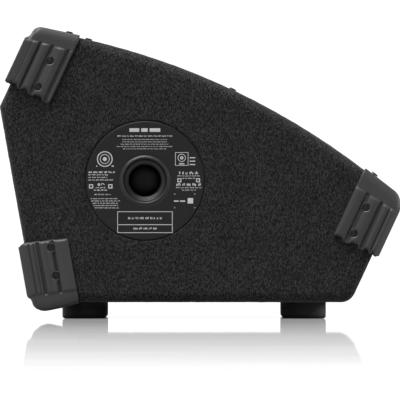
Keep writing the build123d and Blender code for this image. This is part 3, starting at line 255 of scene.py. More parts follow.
def plywood(name):
    t = material_tree(name)
    grain = t.noise(t.coords((6, 60, 420), (0.02, 0.01, 0)), 1.0, 6, 0.6, 0.8)
    plies = t.add("TexWave", "Fac", Scale=110.0, Distortion=1.2, Vector=t.coords())
    dark, light = (0.20, 0.12, 0.055), (0.42, 0.29, 0.15)
    colour = t.ramp(t.blend(grain, 0.8, plies), (0.3, dark), (0.7, light))
    return t.surface(colour, t.remap(grain, 0.3, 0.7, 0.6, 0.85), grain, 0.0002, 0.0005)


def pulp_cone(name):
    t = material_tree(name)
    fibres = t.noise(t.coords(), 900, 5, 0.65, 1.2)
    return t.surface(t.ramp(fibres, (0.35, 0.010), (0.7, 0.035)),
                     t.remap(fibres, 0.3, 0.7, 0.55, 0.8), fibres, 0.0002)


def open_foam(name):
    t = material_tree(name)
    where = t.coords()
    pores = t.cells(where, 900)
    both = t.math("MULTIPLY", pores, t.cells(where, 2100))
    return t.surface(t.ramp(both, (0.02, 0.003), (0.3, 0.016)),
                     t.remap(pores, 0.0, 0.6, 0.9, 1.0), both, 0.0010)


def lofted_fibre(name):
    t = material_tree(name)
    strands = t.noise(t.coords((60, 60, 300)), 4.0, 6, 0.7, 2.0)
    return t.surface(t.ramp(strands, (0.3, 0.45), (0.7, 0.75)),
                     t.remap(strands, 0.3, 0.7, 0.8, 1.0), strands, 0.002, Sheen_Weight=0.3)


# name, dark and light tone, grain, patches, range of roughness and depth of the bump in metres
MATERIALS = {
    "carpet": felt("carpet_felt", 0.003, 0.060),
    "corner": plain("corner_plastic", 0.024, 0.031, 1500, 25, (0.42, 0.55), 0.00008,
        scratches=0.12),
    "moulded": plain("moulded_plastic", 0.008, 0.0125, 1400, 25, (0.4, 0.55), 0.00006, edge=0.0008),
    "label": plain("label_film", 0.0058, 0.0070, 2600, 20, (0.45, 0.55), 0.00002,
        Specular_IOR_Level=0.3),
    "ink": plain("label_ink", 0.47, 0.59, 3000, 90, (0.5, 0.6), 0.00001),
    "rubber": plain("foot_rubber", 0.003, 0.006, 1200, 40, (0.6, 0.8), 0.00008, edge=0.0006),
    "grille": plain("grille_powder_coat", 0.012, 0.020, 2400, 22, (0.38, 0.5), 0.00005,
        scratches=0.1),
    "screw": plain("black_zinc", 0.02, 0.035, 900, 80, (0.3, 0.45), 0.00003, metallic=0.75,
        scratches=0.2),
    "panel": plain("panel_paint", 0.014, 0.022, 1900, 15, (0.5, 0.65), 0.00012, edge=0.0006,
        scratches=0.08),
    "print": plain("panel_print", 0.55, 0.68, 2500, 90, (0.5, 0.6), 0.00001),
    "heatsink": plain("black_anodised", 0.016, 0.028, 1500, 30, (0.35, 0.5), 0.00003, metallic=0.6,
        edge=0.0003, scratches=0.1),
    "knob": plain("knob_plastic", 0.012, 0.018, 1800, 60, (0.35, 0.45), 0.00003, edge=0.0002),
    "pointer": plain("knob_pointer", 0.6, 0.7, 2000, 90, (0.4, 0.5), 0.00001),
    "button": plain("button_plastic", 0.14, 0.18, 1500, 60, (0.4, 0.5), 0.00003, edge=0.0003),
    "rocker": plain("rocker_gloss", 0.008, 0.012, 900, 60, (0.12, 0.2), 0.00001, edge=0.0005),
    "socket": plain("connector_plastic", 0.010, 0.016, 1500, 60, (0.3, 0.42), 0.00003, edge=0.0003),
    "steel": plain("plated_steel", 0.42, 0.55, 700, 60, (0.22, 0.36), 0.00002, metallic=1.0,
        edge=0.0002, scratches=0.15),
    "basket": plain("basket_paint", 0.016, 0.026, 1300, 30, (0.35, 0.5), 0.00004, edge=0.0006),
    "ferrite": plain("ferrite", 0.045, 0.07, 700, 60, (0.6, 0.8), 0.00008, edge=0.0006),
    "cast": plain("cast_housing", 0.10, 0.16, 600, 40, (0.4, 0.55), 0.00010, metallic=0.7,
        edge=0.0008),
    "copper": plain("wound_wire", (0.45, 0.16, 0.07), (0.62, 0.26, 0.12), 2000, 120, (0.25, 0.4),
        0.00006, metallic=1.0),
    "board": plain("solder_mask", (0.008, 0.06, 0.02), (0.014, 0.09, 0.035), 900, 60, (0.3, 0.45),
        0.00004, edge=0.0003),
    "tape": plain("transformer_tape", (0.42, 0.30, 0.03), (0.55, 0.40, 0.06), 500, 120, (0.25, 0.4),
        0.00006, edge=0.0006),
    "lead": plain("lead_sleeve", (0.22, 0.012, 0.010), (0.30, 0.02, 0.016), 1500, 90, (0.3, 0.4),
        0.00003),
    "led": plain("led_lens", (0.10, 0.32, 0.07), (0.16, 0.42, 0.10), 1200, 90, (0.1, 0.2), 0.00001,
        Coat_Weight=0.5),
    "wood": plywood("panel_board"),
    "paper": pulp_cone("cone_paper"),
    "foam": open_foam("open_cell_foam"),
    "wadding": lofted_fibre("polyester_wadding"),
}

# the CAD nodes that wear each material
WORN_BY = {
    "wood": "side_panel_socket side_panel_handle bottom_panel rear_panel shoulder_panel "
        "front_panel baffle brace",
    "grille": "grille_frame",
    "moulded": "pole_socket handle port_tubes horn",
    "basket": "woofer_basket",
    "rubber": "woofer_surround",
    "paper": "woofer_cone dust_cap",
    "tape": "spider transformer",
    "copper": "voice_coil",
    "steel": "magnet_top_plate pole_yoke xlr_latch",
    "ferrite": "magnet",
    "cast": "compression_driver",
    "panel": "amp_panel",
    "heatsink": "heatsink",
    "board": "amp_board",
    "button": "filter_button input_button",
    "rocker": "power_rocker",
    "socket": "xlr_input link_output jack_input mains_inlet",
    "led": "status_leds",
    "wadding": "wadding",
    "lead": "speaker_leads",
    "screw": "wood_screws driver_screws",
}

for material, wearers in WORN_BY.items():
    for node in wearers.split():
        worn = bpy.data.objects[node].data.materials
        worn.clear()
        worn.append(MATERIALS[material])


# ---------------------------------------------------------------- mesh helpers


def turned_outward(verts, faces, inner):
    """The faces, all reversed if on the whole they look towards a point inside."""
    points = np.asarray(verts, dtype=float)
    corners = np.array([face[:3] for face in faces])
    a, b, c = (points[corners[:, k]] for k in range(3))
    flux = np.sum(np.cross(b - a, c - a) * (a - np.asarray(inner)))
    return faces if flux > 0 else [face[::-1] for face in faces]


def make_piece(name, verts, faces, material, body="cabinet", smooth=True, replaces=(), slot=None,
               thickness=0.0, inner=None):
    """A mesh piece from points in mm, riding on a body."""
    mesh = bpy.data.meshes.new(name)
    if inner is not None:
        faces = turned_outward(verts, faces, inner)
    mesh.from_pydata((np.asarray(verts, dtype=float) * MM).tolist(), [], [list(f) for f in faces])
    mesh.validate()
    mesh.polygons.foreach_set("use_smooth", [smooth] * len(mesh.polygons))
    mesh.materials.append(MATERIALS[material])
    piece = bpy.data.objects.new(name, mesh)
    bpy.context.collection.objects.link(piece)
    if thickness:
        shell = piece.modifiers.new("thickness", "SOLIDIFY")
        shell.thickness = thickness * MM
        shell.offset = -1.0
    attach(piece, body)
    if replaces:
        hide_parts(*replaces)
    return piece


def grid_faces(rows, columns, first=0, wrap=False, keep=None, flip=False):
    """Quads of a grid whose points are stored row by row."""
    faces = []
    across = columns if wrap else columns - 1
    for i in range(rows - 1):
        for j in range(across):
            if keep is not None and not keep(i, j):
                continue
            k = (j + 1) % columns
            quad = [first + i * columns + j, first + (i + 1) * columns + j,
                    first + (i + 1) * columns + k, first + i * columns + k]
            faces.append(quad[::-1] if flip else quad)
    return faces


POLE_RADIUS = 1.0
INSIDE = (0.0, 0.0, 150.0)


def lathe(profile, centre, axis, start, steps=64, turn_shape=None):
    """Points and quads of a turned shape: (radius, height) pairs about axis, in mm."""
    axis = np.asarray(axis, dtype=float)
    start = np.asarray(start, dtype=float)
    side = np.cross(axis, start)
    verts = []
    for radius, height in profile:
        for step in range(steps):
            a = 2 * math.pi * step / steps
            r = radius if turn_shape is None else turn_shape(radius, height, a)
            spoke = start * math.cos(a) + side * math.sin(a)
            verts.append(np.asarray(centre) + axis * height + spoke * r)
    faces = grid_faces(len(profile), steps, wrap=True)
    if profile[0][0] < POLE_RADIUS:
        faces.append(list(range(steps)))
    if profile[-1][0] < POLE_RADIUS:
        last = (len(profile) - 1) * steps
        faces.append([last + k for k in range(steps)][::-1])
    return verts, faces


def welded(verts, faces):
    """Points at one place made one, and the faces that close up left out."""
    known, place, kept = {}, [], []
    for point in np.round(np.asarray(verts, dtype=float), 4):
        key = tuple(point)
        if key not in known:
            known[key] = len(kept)
            kept.append(point)
        place.append(known[key])
    solid = []
    for face in faces:
        loop = [place[k] for k in face]
        loop = [k for i, k in enumerate(loop) if k != loop[i - 1]]
        if len(set(loop)) == len(loop) > 2:
            solid.append(loop)
    return np.array(kept), solid


def merge(parts):
    verts, faces = [], []
    for v, f in parts:
        first = len(verts)
        verts.extend(v)
        faces.extend([[first + k for k in face] for face in f])
    return verts, faces


BOX_SIDES = [[0, 3, 2, 1], [4, 5, 6, 7], [0, 1, 5, 4], [1, 2, 6, 5], [2, 3, 7, 6], [3, 0, 4, 7]]


def inside_out(part):
    verts, faces = part
    return verts, [face[::-1] for face in faces]


def box_part(low, high):
    """A plain box between two corners, for lists of small printed marks."""
    (x0, y0, z0), (x1, y1, z1) = low, high
    verts = [np.array(p, dtype=float) for p in (
        (x0, y0, z0), (x1, y0, z0), (x1, y1, z0), (x0, y1, z0),
        (x0, y0, z1), (x1, y0, z1), (x1, y1, z1), (x0, y1, z1))]
    return verts, BOX_SIDES


def smoothstep(low, high, x):
    t = np.clip((np.asarray(x, dtype=float) - low) / (high - low), 0, 1)
    return t * t * (3 - 2 * t)


# ---------------------------------------------------------------- outline of the cabinet


def arc_point(along):
    """A point of the bulged top edge, along the chord from its middle."""
    return on_face(along, math.sqrt(TOP_RADIUS**2 - along**2) - CHORD_DROP)


def straight(start, end, step):
    count = max(2, int(round(np.linalg.norm(end - start) / step)))
    return [start + (end - start) * i / count for i in range(count)]


def toe_round(step):
    """Points round the lower front corner, from the nose side to the bottom."""
    down = (TOE - NOSE) / np.linalg.norm(TOE - NOSE)
    back = np.array([-1.0, 0.0])
    half = math.acos(float(np.dot(-down, back))) / 2
    reach = TOE_RADIUS / math.tan(half)
    start, end = TOE - down * reach, TOE + back * reach
    centre = end + np.array([0.0, TOE_RADIUS])
    first = math.atan2(*(start - centre)[::-1])
    last = math.atan2(*(end - centre)[::-1])
    if last > first:
        last -= 2 * math.pi
    count = max(4, int(round(TOE_RADIUS * (first - last) / step)))
    bend = [
        centre + TOE_RADIUS * np.array([math.cos(a), math.sin(a)])
        for a in np.linspace(first, last, count + 1)
    ]
    return start, bend, end


def outline_path(step, closed):
    """The outline clockwise from the nose, as points and normals that allow for its corners."""
    start, bend, end = toe_round(step)
    points = straight(NOSE, start, step) + bend[:-1] + straight(end, HEEL, step)
    points += straight(HEEL, BEND, step) + straight(BEND, CROWN, step)
    if closed:
        count = int(FACE_LENGTH / step)
        points += [arc_point(-HALF_FACE + FACE_LENGTH * i / count) for i in range(count)]
    else:
        lead = [arc_point(a) for a in np.linspace(HALF_FACE - RING, HALF_FACE, 6)]
        tail = [arc_point(a) for a in np.linspace(-HALF_FACE, RING - HALF_FACE, 6)]
        points = lead[:-1] + points + tail
    points = np.array(points)
    ahead = np.roll(points, -1, axis=0) - points
    if not closed:
        ahead[-1] = ahead[-2]
    ahead /= np.linalg.norm(ahead, axis=1)[:, None]
    behind = np.roll(ahead, 1, axis=0)
    if not closed:
        behind[0] = ahead[0]
    # clockwise with X right and Z up, outward is on the left of travel
    outward_ahead = np.stack([-ahead[:, 1], ahead[:, 0]], axis=1)
    outward_behind = np.stack([-behind[:, 1], behind[:, 0]], axis=1)
    cosine = np.sum(outward_ahead * outward_behind, axis=1)
    normals = (outward_ahead + outward_behind) / (1 + cosine)[:, None]
    return points, normals


def pulled_in(points, normals, inset):
    """The closed outline moved inwards, with the loops that form at its corners taken out."""
    moved = points - normals * inset
    start, span = points, np.roll(points, -1, axis=0) - points
    reach = np.full(len(points), np.inf)
    for p, d in zip(start, span):
        t = np.clip(((moved - p) @ d) / (d @ d), 0, 1)
        reach = np.minimum(reach, np.linalg.norm(moved - p - t[:, None] * d, axis=1))
    good = np.flatnonzero(reach > inset - 0.03)
    step = moved[good] - np.roll(moved[good], 1, axis=0)
    along = points[good] - np.roll(points[good], 1, axis=0)
    good = good[np.sum(step * along, axis=1) > 0.3]
    every, around = np.arange(len(points)), len(points)
    return np.column_stack([np.interp(every, good, moved[good, k], period=around) for k in (0, 1)])


def lumps(points, scale, seed):
    """Cheap smooth noise in space from a few sine waves, about -1 to 1."""
    waves = np.random.default_rng(seed)
    total = np.zeros(len(points))
    for _ in range(9):
        direction = waves.normal(size=3)
        direction *= 2 * math.pi / (scale * waves.uniform(0.7, 1.6) * np.linalg.norm(direction))
        total += np.sin(points @ direction + waves.uniform(0, 2 * math.pi))
    return total / 4.0


# ---------------------------------------------------------------- carpet


def rounded_hole(direction, half, radius):
    """Reach from the middle of a rounded rectangle to its edge along a direction."""
    low, high = 0.0, float(np.hypot(*half)) + 1
    for _ in range(40):
        mid = (low + high) / 2
        q = np.abs(direction * mid) - (half - radius)
        outside = math.hypot(max(q[0], 0), max(q[1], 0)) + min(max(q[0], q[1]), 0) - radius
        low, high = (mid, high) if outside < 0 else (low, mid)
    return high


FELT_LUMP = 0.22  # height of the felt's unevenness
WIDE_LUMPS, FINE_LUMPS = 9.0, 3.4
SIDE_ROWS = 78
WRAP_ROWS = 131
SIDE_ROUND = 12.0  # felt stretched over the board's rounded edge


def in_space(flat, y):
    """Points of the outline's plane as points in space."""
    return np.column_stack([flat[:, 0], np.full(len(flat), y), flat[:, 1]])


def lumpy(verts, toward, seed, share=1.0):
    """Felt surface with its large and small unevenness along the given directions."""
    lift = lumps(verts, WIDE_LUMPS, seed) * 0.6 + lumps(verts, FINE_LUMPS, seed + 1) * 0.4
    return verts + toward * (lift * FELT_LUMP * share)[:, None]


def side_carpet(name, side, middle, reach, node):
    """Carpet glued over one side panel and its rounded edge, cut out round a fitting."""
    points, normals = outline_path(2.6, True)
    count = len(points)
    inner_edge = pulled_in(points, normals, SIDE_ROUND)
    spokes = inner_edge - middle
    length = np.linalg.norm(spokes, axis=1)
    direction = spokes / length[:, None]
    hole = middle + direction * np.array([reach(d) for d in direction])[:, None]
    rows, outward = [], []

    def add_row(flat, depth, lean):
        """lean is 0 where the surface faces sideways and 1 where it faces outward."""
        rows.append(in_space(flat, side * (HALF_WIDTH - depth)))
        outward.append(in_space(normals * lean, side * (1 - lean)))

    add_row(hole, CARPET - 0.1, 0)
    add_row(hole, 1.2, 0)
    add_row(hole + direction * 0.5, 0.35, 0)
    begin = hole + direction * 1.6
    for i in range(SIDE_ROWS + 1):
        add_row(begin + (inner_edge - begin) * (i / SIDE_ROWS), 0.0, 0)
    for i in range(1, 10):
        a = math.radians(10 * i)
        inset = SIDE_ROUND * (1 - math.sin(a))
        flat = pulled_in(points, normals, inset) if inset > 0.3 else points
        add_row(flat, SIDE_ROUND * (1 - math.cos(a)), math.sin(a) ** 2)
    for depth in (13.2, 14.4, 15.6):
        add_row(points, depth, 1)
    add_row(points - normals * 0.5, 16.9, 1)
    add_row(points - normals * 1.3, 17.4, 1)
    add_row(points - normals * (CARPET - 0.1), 17.4, 1)
    verts = np.concatenate(rows)
    edge_rows = np.repeat([0.0] * 3 + [1.0] * (len(rows) - 5) + [0.2] * 2, count)
    verts = lumpy(verts, np.concatenate(outward), 11, edge_rows)
    verts, faces = welded(verts, grid_faces(len(rows), count, wrap=True, flip=side < 0))
    piece = make_piece(name, verts, faces, "carpet", replaces=(node,), slot="carpet", thickness=0.8,
                       inner=INSIDE)


def socket_reach(_direction):
    return SOCKET_FLANGE + 0.55


def handle_reach(direction):
    return rounded_hole(direction, HANDLE_HALF + 0.5, 15.5)


side_carpet("felt_socket_side", -1, SOCKET, socket_reach, "carpet_socket_side")
side_carpet("felt_handle_side", 1, HANDLE, handle_reach, "carpet_handle_side")


def wrap_carpet():
    """Carpet over the nose, bottom, rear and shoulder boards, with its seams at the sides."""
    points, normals = outline_path(3.4, False)
    count = len(points)
    inner = SIDE_INNER
    seam = [-inner + 0.1, -inner + 0.1, -inner + 0.6]
    ys = np.concatenate([seam, np.linspace(-inner + 1.6, inner - 1.6, WRAP_ROWS),
                         [-y for y in seam[::-1]]])
    tuck = [CARPET - 0.1, 1.2, 0.45]
    sink = np.concatenate([tuck, np.zeros(WRAP_ROWS), tuck[::-1]])
    verts, toward = [], []
    end_sink = np.zeros(count)
    end_sink[[0, -1]] = 0.9
    for y, drop in zip(ys, sink):
        flat = points - normals * (np.maximum(drop, end_sink))[:, None]
        verts.append(in_space(flat, y))
        toward.append(in_space(normals, 0.0))
    verts, toward = np.concatenate(verts), np.concatenate(toward)
    verts = lumpy(verts, toward, 21)
    middle = np.array([REAR_MIDDLE[0], 0, REAR_MIDDLE[1]])
    up = (verts - middle) @ REAR_UP
    out = (verts - middle) @ REAR_OUT
    inside = (np.abs(verts[:, 1]) < PANEL_HALF[0] - 1) & (np.abs(out) < 6)
    inside &= np.abs(up) < PANEL_HALF[1] - 1

    def keep(i, j):
        return not all(inside[row * count + k] for row in (i, i + 1) for k in (j, j + 1))

    faces = grid_faces(len(ys), count, keep=keep)
    used = sorted({k for f in faces for k in f})
    place = {k: n for n, k in enumerate(used)}
    faces = [[place[k] for k in f] for f in faces]
    piece = make_piece("felt_wrap", verts[used], faces, "carpet", replaces=("carpet_wrap",),
                       slot="carpet", thickness=0.8, inner=INSIDE)


wrap_carpet()

# ---------------------------------------------------------------- corner protectors

REACH = 49.5
PLATE_EDGE = -7.3
# All in mm from the cabinet's corner. cap and far: the plate's two ends, as places along it at
# distances across it. start: where the ribs begin. ribs: their height at distances across.
CORNERS = {
    "crown": {
        "corner": CROWN, "inward": DOWN_SLOPE, "along": -OUT_OF_SLOPE,
        "cap": ((PLATE_EDGE, 14.0), (-6.9, 13.2), (-3.4, 9.6), (-2.7, 6.8), (-2.2, 2.0),
            (-0.5, -1.6), (3.4, -5.1), (9.0, -6.6), (REACH, -15.7)),
        "far": ((PLATE_EDGE, 66.0), (-5.5, 68.4), (REACH, 71.4)), "start": (12.6, 3.4),
        "ribs": ((PLATE_EDGE, 5.2), (-3.0, 5.5), (1.6, 5.4), (2.8, 4.7), (4.2, 5.4), (8.0, 5.3),
            (9.9, 3.9), (11.2, 1.6), (12.4, 1.6), (13.6, 3.8), (15.0, 4.9), (18.2, 5.5),
            (21.0, 5.2), (23.0, 3.8), (24.8, 1.8), (26.6, 1.5), (28.0, 3.0), (30.4, 4.6),
            (36.0, 5.5), (39.4, 5.2), (41.6, 3.8), (43.2, 1.8), (45.6, 1.5), (46.6, 3.4),
            (48.0, 4.5), (REACH, 4.3)),
        "side_lean": 8.0, "scallop": 3.4, "bottom": False,
    },
    "nose": {
        "corner": NOSE, "inward": -DOWN_SLOPE, "along": -OUT_OF_SLOPE,
        "cap": ((PLATE_EDGE, 13.5), (-6.4, 9.5), (-4.6, 5.0), (-1.7, 0.2), (2.4, -3.6), (6.7, -5.6),
            (REACH, -15.4)),
        "far": ((PLATE_EDGE, 65.0), (-6.2, 69.0), (-3.6, 71.6), (REACH, 71.8)),
        "start": (14.4, 6.6),
        "ribs": ((PLATE_EDGE, -2.6), (-4.9, 0.2), (-3.0, 2.4), (-1.2, 4.2), (0.0, 5.0), (1.2, 5.5),
            (2.4, 4.9), (3.6, 3.2), (4.8, 3.4), (6.2, 4.8), (9.0, 5.5), (11.4, 5.0), (13.0, 3.6),
            (14.6, 1.6), (16.6, 1.5), (17.8, 3.4), (19.6, 4.8), (24.2, 5.5), (28.2, 5.0),
            (31.0, 3.6), (32.8, 1.7), (35.8, 1.5), (37.2, 3.6), (39.4, 4.9), (44.6, 5.5),
            (47.6, 5.1), (REACH, 4.4)),
        "side_lean": 42.0, "scallop": 3.4, "bottom": False,
    },
    "heel": {
        "corner": HEEL, "inward": np.array([math.cos(REAR_LEAN), math.sin(REAR_LEAN)]),
        "along": np.array([-math.sin(REAR_LEAN), math.cos(REAR_LEAN)]),
        "cap": ((PLATE_EDGE, 8.2), (-6.6, 6.8), (-3.3, 3.6), (-2.9, 1.0), (-2.2, -3.6), (0.5, -7.6),
            (5.2, -10.6), (9.0, -12.0), (14.4, -12.4), (30.0, -12.0), (REACH, -10.0)),
        "far": ((PLATE_EDGE, 63.8), (-5.0, 65.6), (0.2, 68.8), (REACH, 65.7)), "start": (7.0, 3.4),
        "ribs": ((PLATE_EDGE, -1.4), (-4.9, 0.8), (-3.0, 2.6), (-0.8, 4.4), (1.6, 5.4), (3.2, 5.0),
            (4.6, 3.8), (6.0, 4.9), (7.6, 5.4), (9.0, 4.9), (10.2, 3.9), (11.4, 4.9), (12.6, 4.4),
            (13.8, 1.9), (15.8, 1.7), (17.0, 3.8), (18.4, 5.1), (21.4, 5.5), (23.2, 5.0),
            (24.8, 4.7), (27.0, 5.3), (29.0, 4.8), (30.6, 2.4), (32.4, 1.6), (33.8, 3.6),
            (35.4, 5.0), (41.0, 5.5), (46.4, 5.2), (REACH, 4.6)),
        "side_lean": 36.0, "scallop": 0.6, "bottom": True,
    },
}
PLATE_ROWS = 140
SKIRT_SHORT, SKIRT_DEEP = 17.5, 56.0
GROOVE_PITCH, GROOVE_DEPTH, GROOVE_WIDTH = 14.5, 1.3, 1.6
RIM = 2.4
CAP_LEAN = 30.0
CAP_PROUD = 3.5
CORNER_SCREWS = ((30.0, 25.5), (30.0, 58.5))
SCREW_WELL = 5.0
SCREW_FLOOR = 2.7


def interpolate(table, x):
    return np.interp(x, [p[0] for p in table], [p[1] for p in table])


def protector_height(spec, a, b, near, far):
    """How far a protector's plate stands off the side panel at (a, b)."""
    start = np.interp(a, (PLATE_EDGE, REACH), spec["start"])
    ribs = interpolate(spec["ribs"], a)
    crest = smoothstep(3.6, 5.2, ribs)
    # the cap rounds up from its outer edge and the ribs rise out of it
    cap = CAP_PROUD - 2.3 * (1 - np.clip((b - near) / 9.0, 0, 1)) ** 2
    cap = np.where(a < 1.2, np.minimum(cap, ribs), cap)
    rise = np.clip((b - start - 0.9 * crest) / 2.9, 0, 1)
    rise = 0.6 * rise + 0.4 * smoothstep(0, 1, rise)
    height = cap + (ribs - cap) * np.where(ribs > cap, rise, smoothstep(0.0, 1.2, b - start))
    room = np.clip((far - b) / 4.0, 0, 1)
    limit = 2.1 + 3.4 * np.sqrt(np.clip(1 - (1 - room) ** 2, 0, 1))
    height = np.minimum(height, limit)
    for across, along in CORNER_SCREWS:
        away = np.hypot(a - across, b - along)
        well = smoothstep(SCREW_WELL - 0.5, SCREW_WELL + 0.5, away)
        height = np.minimum(height, SCREW_FLOOR + 3.0 * well)
    return height


def resample(points, spacing):
    points = np.asarray(points, dtype=float)
    length = np.concatenate([[0], np.cumsum(np.linalg.norm(np.diff(points, axis=0), axis=1))])
    count = max(2, int(round(length[-1] / spacing)))
    s = np.linspace(0, length[-1], count + 1)
    return np.column_stack([np.interp(s, length, points[:, k]) for k in (0, 1)])


def soften(points, rounds):
    points = points.copy()
    for _ in range(rounds):
        points[1:-1] = 0.25 * points[:-2] + 0.5 * points[1:-1] + 0.25 * points[2:]
    return points


def base_path(spec):
    """The cabinet's own edge near a protector, in the protector's (across, along)."""
    side = [(0.0, 80.0 - 4 * i) for i in range(20)] + [(0.0, 0.0)]
    if spec["bottom"]:
        flange = [(x, -x * math.tan(REAR_LEAN)) for x in np.linspace(2, 60, 30)]
    else:
        flange = [
            (x, CHORD_DROP - math.sqrt(TOP_RADIUS**2 - (HALF_FACE - x) ** 2))
            for x in np.linspace(2, 60, 30)
        ]
    return np.array(side + flange)


def nearest_on(path, point):
    start, end = path[:-1], path[1:]
    span = end - start
    t = np.clip(np.sum((point - start) * span, axis=1) / np.sum(span * span, axis=1), 0, 1)
    close = start + span * t[:, None]
    return close[np.argmin(np.linalg.norm(close - point, axis=1))]


def protector(kind, side):
    """Ribbed corner moulding: plate on the side panel and skirts over the two cabinet edges."""
    spec = CORNERS[kind]
    base = base_path(spec)
    cap = soften(resample(spec["cap"], 0.55), 5)
    tangent = np.gradient(cap, axis=0)
    tangent /= np.linalg.norm(tangent, axis=1)[:, None]
    outward = np.column_stack([tangent[:, 1], -tangent[:, 0]])
    outward[0] = (-1.0, 0.0)
    cap_in = cap - outward * RIM
    cap_in[0, 0] = PLATE_EDGE + RIM
    cap_in[:, 0] = np.maximum.accumulate(np.maximum(cap_in[:, 0], PLATE_EDGE + RIM))
    # plate: columns across, rows along
    columns = np.concatenate([
        np.arange(PLATE_EDGE + RIM, 3.0, 0.22), np.arange(3.0, REACH - 1, 0.5),
        [REACH - 0.8, REACH - 0.35, REACH]])
    verts, base_verts = [], []
    width = len(columns)
    near = np.interp(columns, cap_in[:, 0], cap_in[:, 1])
    ridge = smoothstep(3.4, 5.3, interpolate(spec["ribs"], columns))
    far = interpolate(spec["far"], columns)
    far = far - spec["scallop"] * ridge * smoothstep(-4.0, 1.0, columns)
    edge = REACH - columns
    for u in np.linspace(0, 1, PLATE_ROWS):
        b = near + (far - near) * u
        height = protector_height(spec, columns, b, near, far)
        height = np.where(edge < 1.2, height - 0.7 * (1 - edge / 1.2) ** 2, height)
        verts += zip(columns, b, height)
        base_verts += zip(columns, b, [-0.2] * width)
    faces = grid_faces(PLATE_ROWS, width)
    # rim and skirts follow the plate's outer side, from the far end round the cap
    side_rows = PLATE_ROWS - 1
    rim_index = [r * width for r in range(side_rows, 0, -1)] + list(range(width))
    rim_a, rim_b, rim_h = np.array([verts[k] for k in rim_index]).T
    on_cap = np.arange(len(rim_index)) >= side_rows
    normal = np.zeros((len(rim_index), 2))
    normal[:side_rows] = (-1.0, 0.0)
    spot = np.interp(columns, cap_in[:, 0], np.arange(len(cap)))
    for axis in (0, 1):
        normal[side_rows:, axis] = np.interp(spot, np.arange(len(cap)), outward[:, axis])
    normal = soften(normal, 6)
    normal /= np.linalg.norm(normal, axis=1)[:, None]
    narrow = (rim_a > SKIRT_SHORT) & on_cap & (not spec["bottom"])
    lean = np.radians(soften(np.where(on_cap, CAP_LEAN, spec["side_lean"]), 8))
    depth_rows = [("round", f) for f in (0.2, 0.4, 0.6, 0.8, 1.0)]
    depth_rows += [("skirt", d) for d in np.linspace(1.5, SKIRT_SHORT, 9)]
    depth_rows += [("skirt", d) for d in np.linspace(SKIRT_SHORT + 1.5, SKIRT_DEEP, 26)]
    strip = [list(rim_index)]
    for part, value in depth_rows:
        line = []
        for k, first in enumerate(lean):
            if part == "round":
                turn = first + (math.pi / 2 - first) * value
                spread = RIM / (1 - math.sin(first))
                push = spread * (math.sin(turn) - math.sin(first))
                height = rim_h[k] - spread * (math.cos(first) - math.cos(turn)) * 0.8
            else:
                push, height = RIM, rim_drop[k] - value
                off_groove = (value - GROOVE_PITCH) % GROOVE_PITCH - GROOVE_PITCH / 2
                groove = GROOVE_DEPTH * math.exp(-(off_groove / GROOVE_WIDTH) ** 2)
                if k < PLATE_ROWS and value <= SKIRT_DEEP - 3:
                    push -= groove * float(smoothstep(0, 6, rim_b[k] - spec["start"][0]))
                if value > SKIRT_DEEP - 1.2:
                    push -= 0.8
                if narrow[k] and value > SKIRT_SHORT:
                    line.append(None)
                    continue
            point = np.array([rim_a[k], rim_b[k]]) + normal[k] * push
            floor = nearest_on(base, point) - normal[k] * 0.3
            line.append(len(verts))
            verts.append((*point, height))
            base_verts.append((*floor, height))
        if part == "round":
            rim_drop = [verts[k][2] for k in line]
        strip.append(line)
    for upper, lower in zip(strip[:-1], strip[1:]):
        for k in range(len(rim_index) - 1):
            quad = [upper[k], lower[k], lower[k + 1], upper[k + 1]]
            if None not in quad:
                faces.append(quad)
    # walls down to the cabinet round every open edge
    edges = {}
    for face in faces:
        for p, q in zip(face, face[1:] + face[:1]):
            key = (min(p, q), max(p, q))
            edges[key] = None if key in edges else (p, q)
    wall = {}
    for pair in [e for e in edges.values() if e]:
        for p in pair:
            if p not in wall:
                wall[p] = len(verts)
                verts.append(base_verts[p])
        faces.append([pair[1], pair[0], wall[pair[0]], wall[pair[1]]])
    placed = []
    for a, b, h in verts:
        flat = spec["corner"] + spec["inward"] * a + spec["along"] * b
        placed.append((flat[0], side * (HALF_WIDTH + h), flat[1]))
    heart = spec["corner"] + (spec["inward"] + spec["along"]) * 30
    side_name = "socket" if side < 0 else "handle"
    return make_piece(f"{kind}_corner_{side_name}_side", placed, faces, "corner",
                      replaces=(f"{kind}_protector_{side_name}_side",), slot="corner_plastic",
                      thickness=0.9, inner=(heart[0], side * (HALF_WIDTH - 30), heart[1]))


for kind in CORNERS:
    for side in (-1, 1):
        protector(kind, side)


def screw_collars():
    """A raised ring moulded round each screw well of the corner plates."""
    foot = SCREW_FLOOR - 0.6
    profile = [(5.6, foot), (5.55, 4.5), (5.3, 4.95), (4.9, 5.05), (4.55, 4.85), (4.4, 4.4),
               (4.35, foot)]
    parts = []
    for spec in CORNERS.values():
        for across, along in CORNER_SCREWS:
            flat = spec["corner"] + spec["inward"] * across + spec["along"] * along
            for side in (-1, 1):
                seat = (flat[0], side * HALF_WIDTH, flat[1])
                parts.append(inside_out(lathe(profile, seat, (0, side, 0), (1, 0, 0), 36)))
    make_piece("corner_screw_collars", *merge(parts), "corner", slot="corner_plastic")


screw_collars()

# ---------------------------------------------------------------- screws


